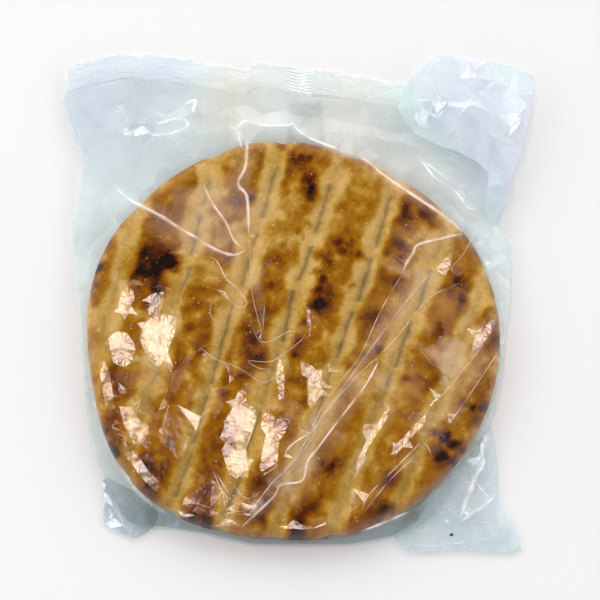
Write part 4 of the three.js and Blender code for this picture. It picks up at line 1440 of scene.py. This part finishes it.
crease_mesh = bmesh.new()
crease_white = crease_mesh.verts.layers.float.new("white")
for holder, folds in creased:
    for fold in folds:
        line = flowing(fold.points, CREASE_STEP)
        crease(crease_mesh, crease_white, holder, line, fold.white, fold.width, FOLD_STEADY)
# Painted highlights along the rims of the glints.
for ring in GLINT_RINGS:
    line = resample(ring + ring[:1], CREASE_STEP)
    crease(crease_mesh, crease_white, film_body, line, GLINT_RIM_HIGHLIGHT, GLINT_WIDTH, GLINT_STEADY)
creases = piece_of("creases", crease_mesh)
thick = creases.modifiers.new("thickness", "SOLIDIFY")
thick.thickness = CREASE_THICKNESS * MM
bpy.ops.object.modifier_apply(modifier=thick.name)
crease_film = film_material("crease_film", (1, 1, 1), (0.97, 0.99, 1.0), 0.0, shine=0.0, warm=CREASE_WARMTH)
creases.data.materials.append(crease_film)
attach(creases, "root")
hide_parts("bag")


# ------------------------------------------------------------------------------------- floor and light
# A plain pale floor under a pale studio, bright round the sides and darker overhead, so that flat
# film doesn't mirror a veil, and dimmer on the side that the view comes from.
FLOOR_SIZE = 6000
FLOOR_DROP = 0.3
SKY_STRENGTH = 2.86
SKY_COLOURS = ((0.45, (1.0, 1.0, 1.0)), (0.72, (0.02, 0.02, 0.02)))  # from the sides up to overhead
SKY_NEAR = 0.32  # the share of the light that the view's side keeps

bpy.ops.object.select_all(action="DESELECT")
bpy.ops.mesh.primitive_plane_add(size=FLOOR_SIZE * MM, location=(0, 0, -FLOOR_DROP * MM))
floor = bpy.context.object
floor.name = "floor"
floor_paint = paint("floor", {"Base Color": (0.9, 0.9, 0.905, 1), "Roughness": 0.9,
                              "Specular IOR Level": 0.0})
floor.data.materials.append(floor_paint)

world = bpy.data.worlds.new("studio")
bpy.context.scene.world = world
world.use_nodes = True
link = world.node_tree.links.new
sky = world.node_tree.nodes["Background"]
sky_place = add_node(world, "ShaderNodeTexCoord")
sky_split = add_node(world, "ShaderNodeSeparateXYZ")
sky_ramp = add_node(world, "ShaderNodeValToRGB")
fill_ramp(sky_ramp, SKY_COLOURS)
near_side = add_node(world, "ShaderNodeMapRange", {"From Min": -0.8, "From Max": 0.4,
                                                   "To Min": SKY_NEAR * SKY_STRENGTH,
                                                   "To Max": SKY_STRENGTH})
link(sky_place.outputs["Generated"], sky_split.inputs["Vector"])
link(sky_split.outputs["Z"], sky_ramp.inputs["Fac"])
link(sky_ramp.outputs["Color"], sky.inputs["Color"])
link(sky_split.outputs["Y"], near_side.inputs["Value"])
link(near_side.outputs["Result"], sky.inputs["Strength"])


def lamp(name, spot, aim, width, radiance, colour=(1, 1, 1)):
    """A square soft light of that width, in millimetres, with the given brightness of its face."""
    data = bpy.data.lights.new(name, "AREA")
    data.shape = "SQUARE"
    data.size = width * MM
    data.energy = radiance * math.pi * (width * MM) ** 2
    data.color = colour
    light = bpy.data.objects.new(name, data)
    light.location = Vector(spot) * MM
    light.rotation_euler = (Vector(aim) - Vector(spot)).to_track_quat("-Z", "Y").to_euler()
    bpy.context.collection.objects.link(light)


# The two lights that the facets mirror, a softer rim round the bright one, and a broad light from
# beyond the end seal.
GLINT_AIM = (-35, -30, 10)
HALO_BEHIND = Vector((0, 0, 5))
lamp("glint_light", GLINT_SPOT, GLINT_AIM, 120, 44, (1.0, 0.96, 0.95))
lamp("glint_halo", GLINT_SPOT + HALO_BEHIND, GLINT_AIM, 250, 7, (1.0, 0.92, 0.90))
lamp("veil_light", VEIL_SPOT, (30, 0, 10), 230, 3.2, (1.0, 0.80, 0.72))
lamp("top_light", (0, 2250, 1300), (0, 0, 0), 1400, 2.0)
bpy.context.scene.view_settings.view_transform = "Standard"
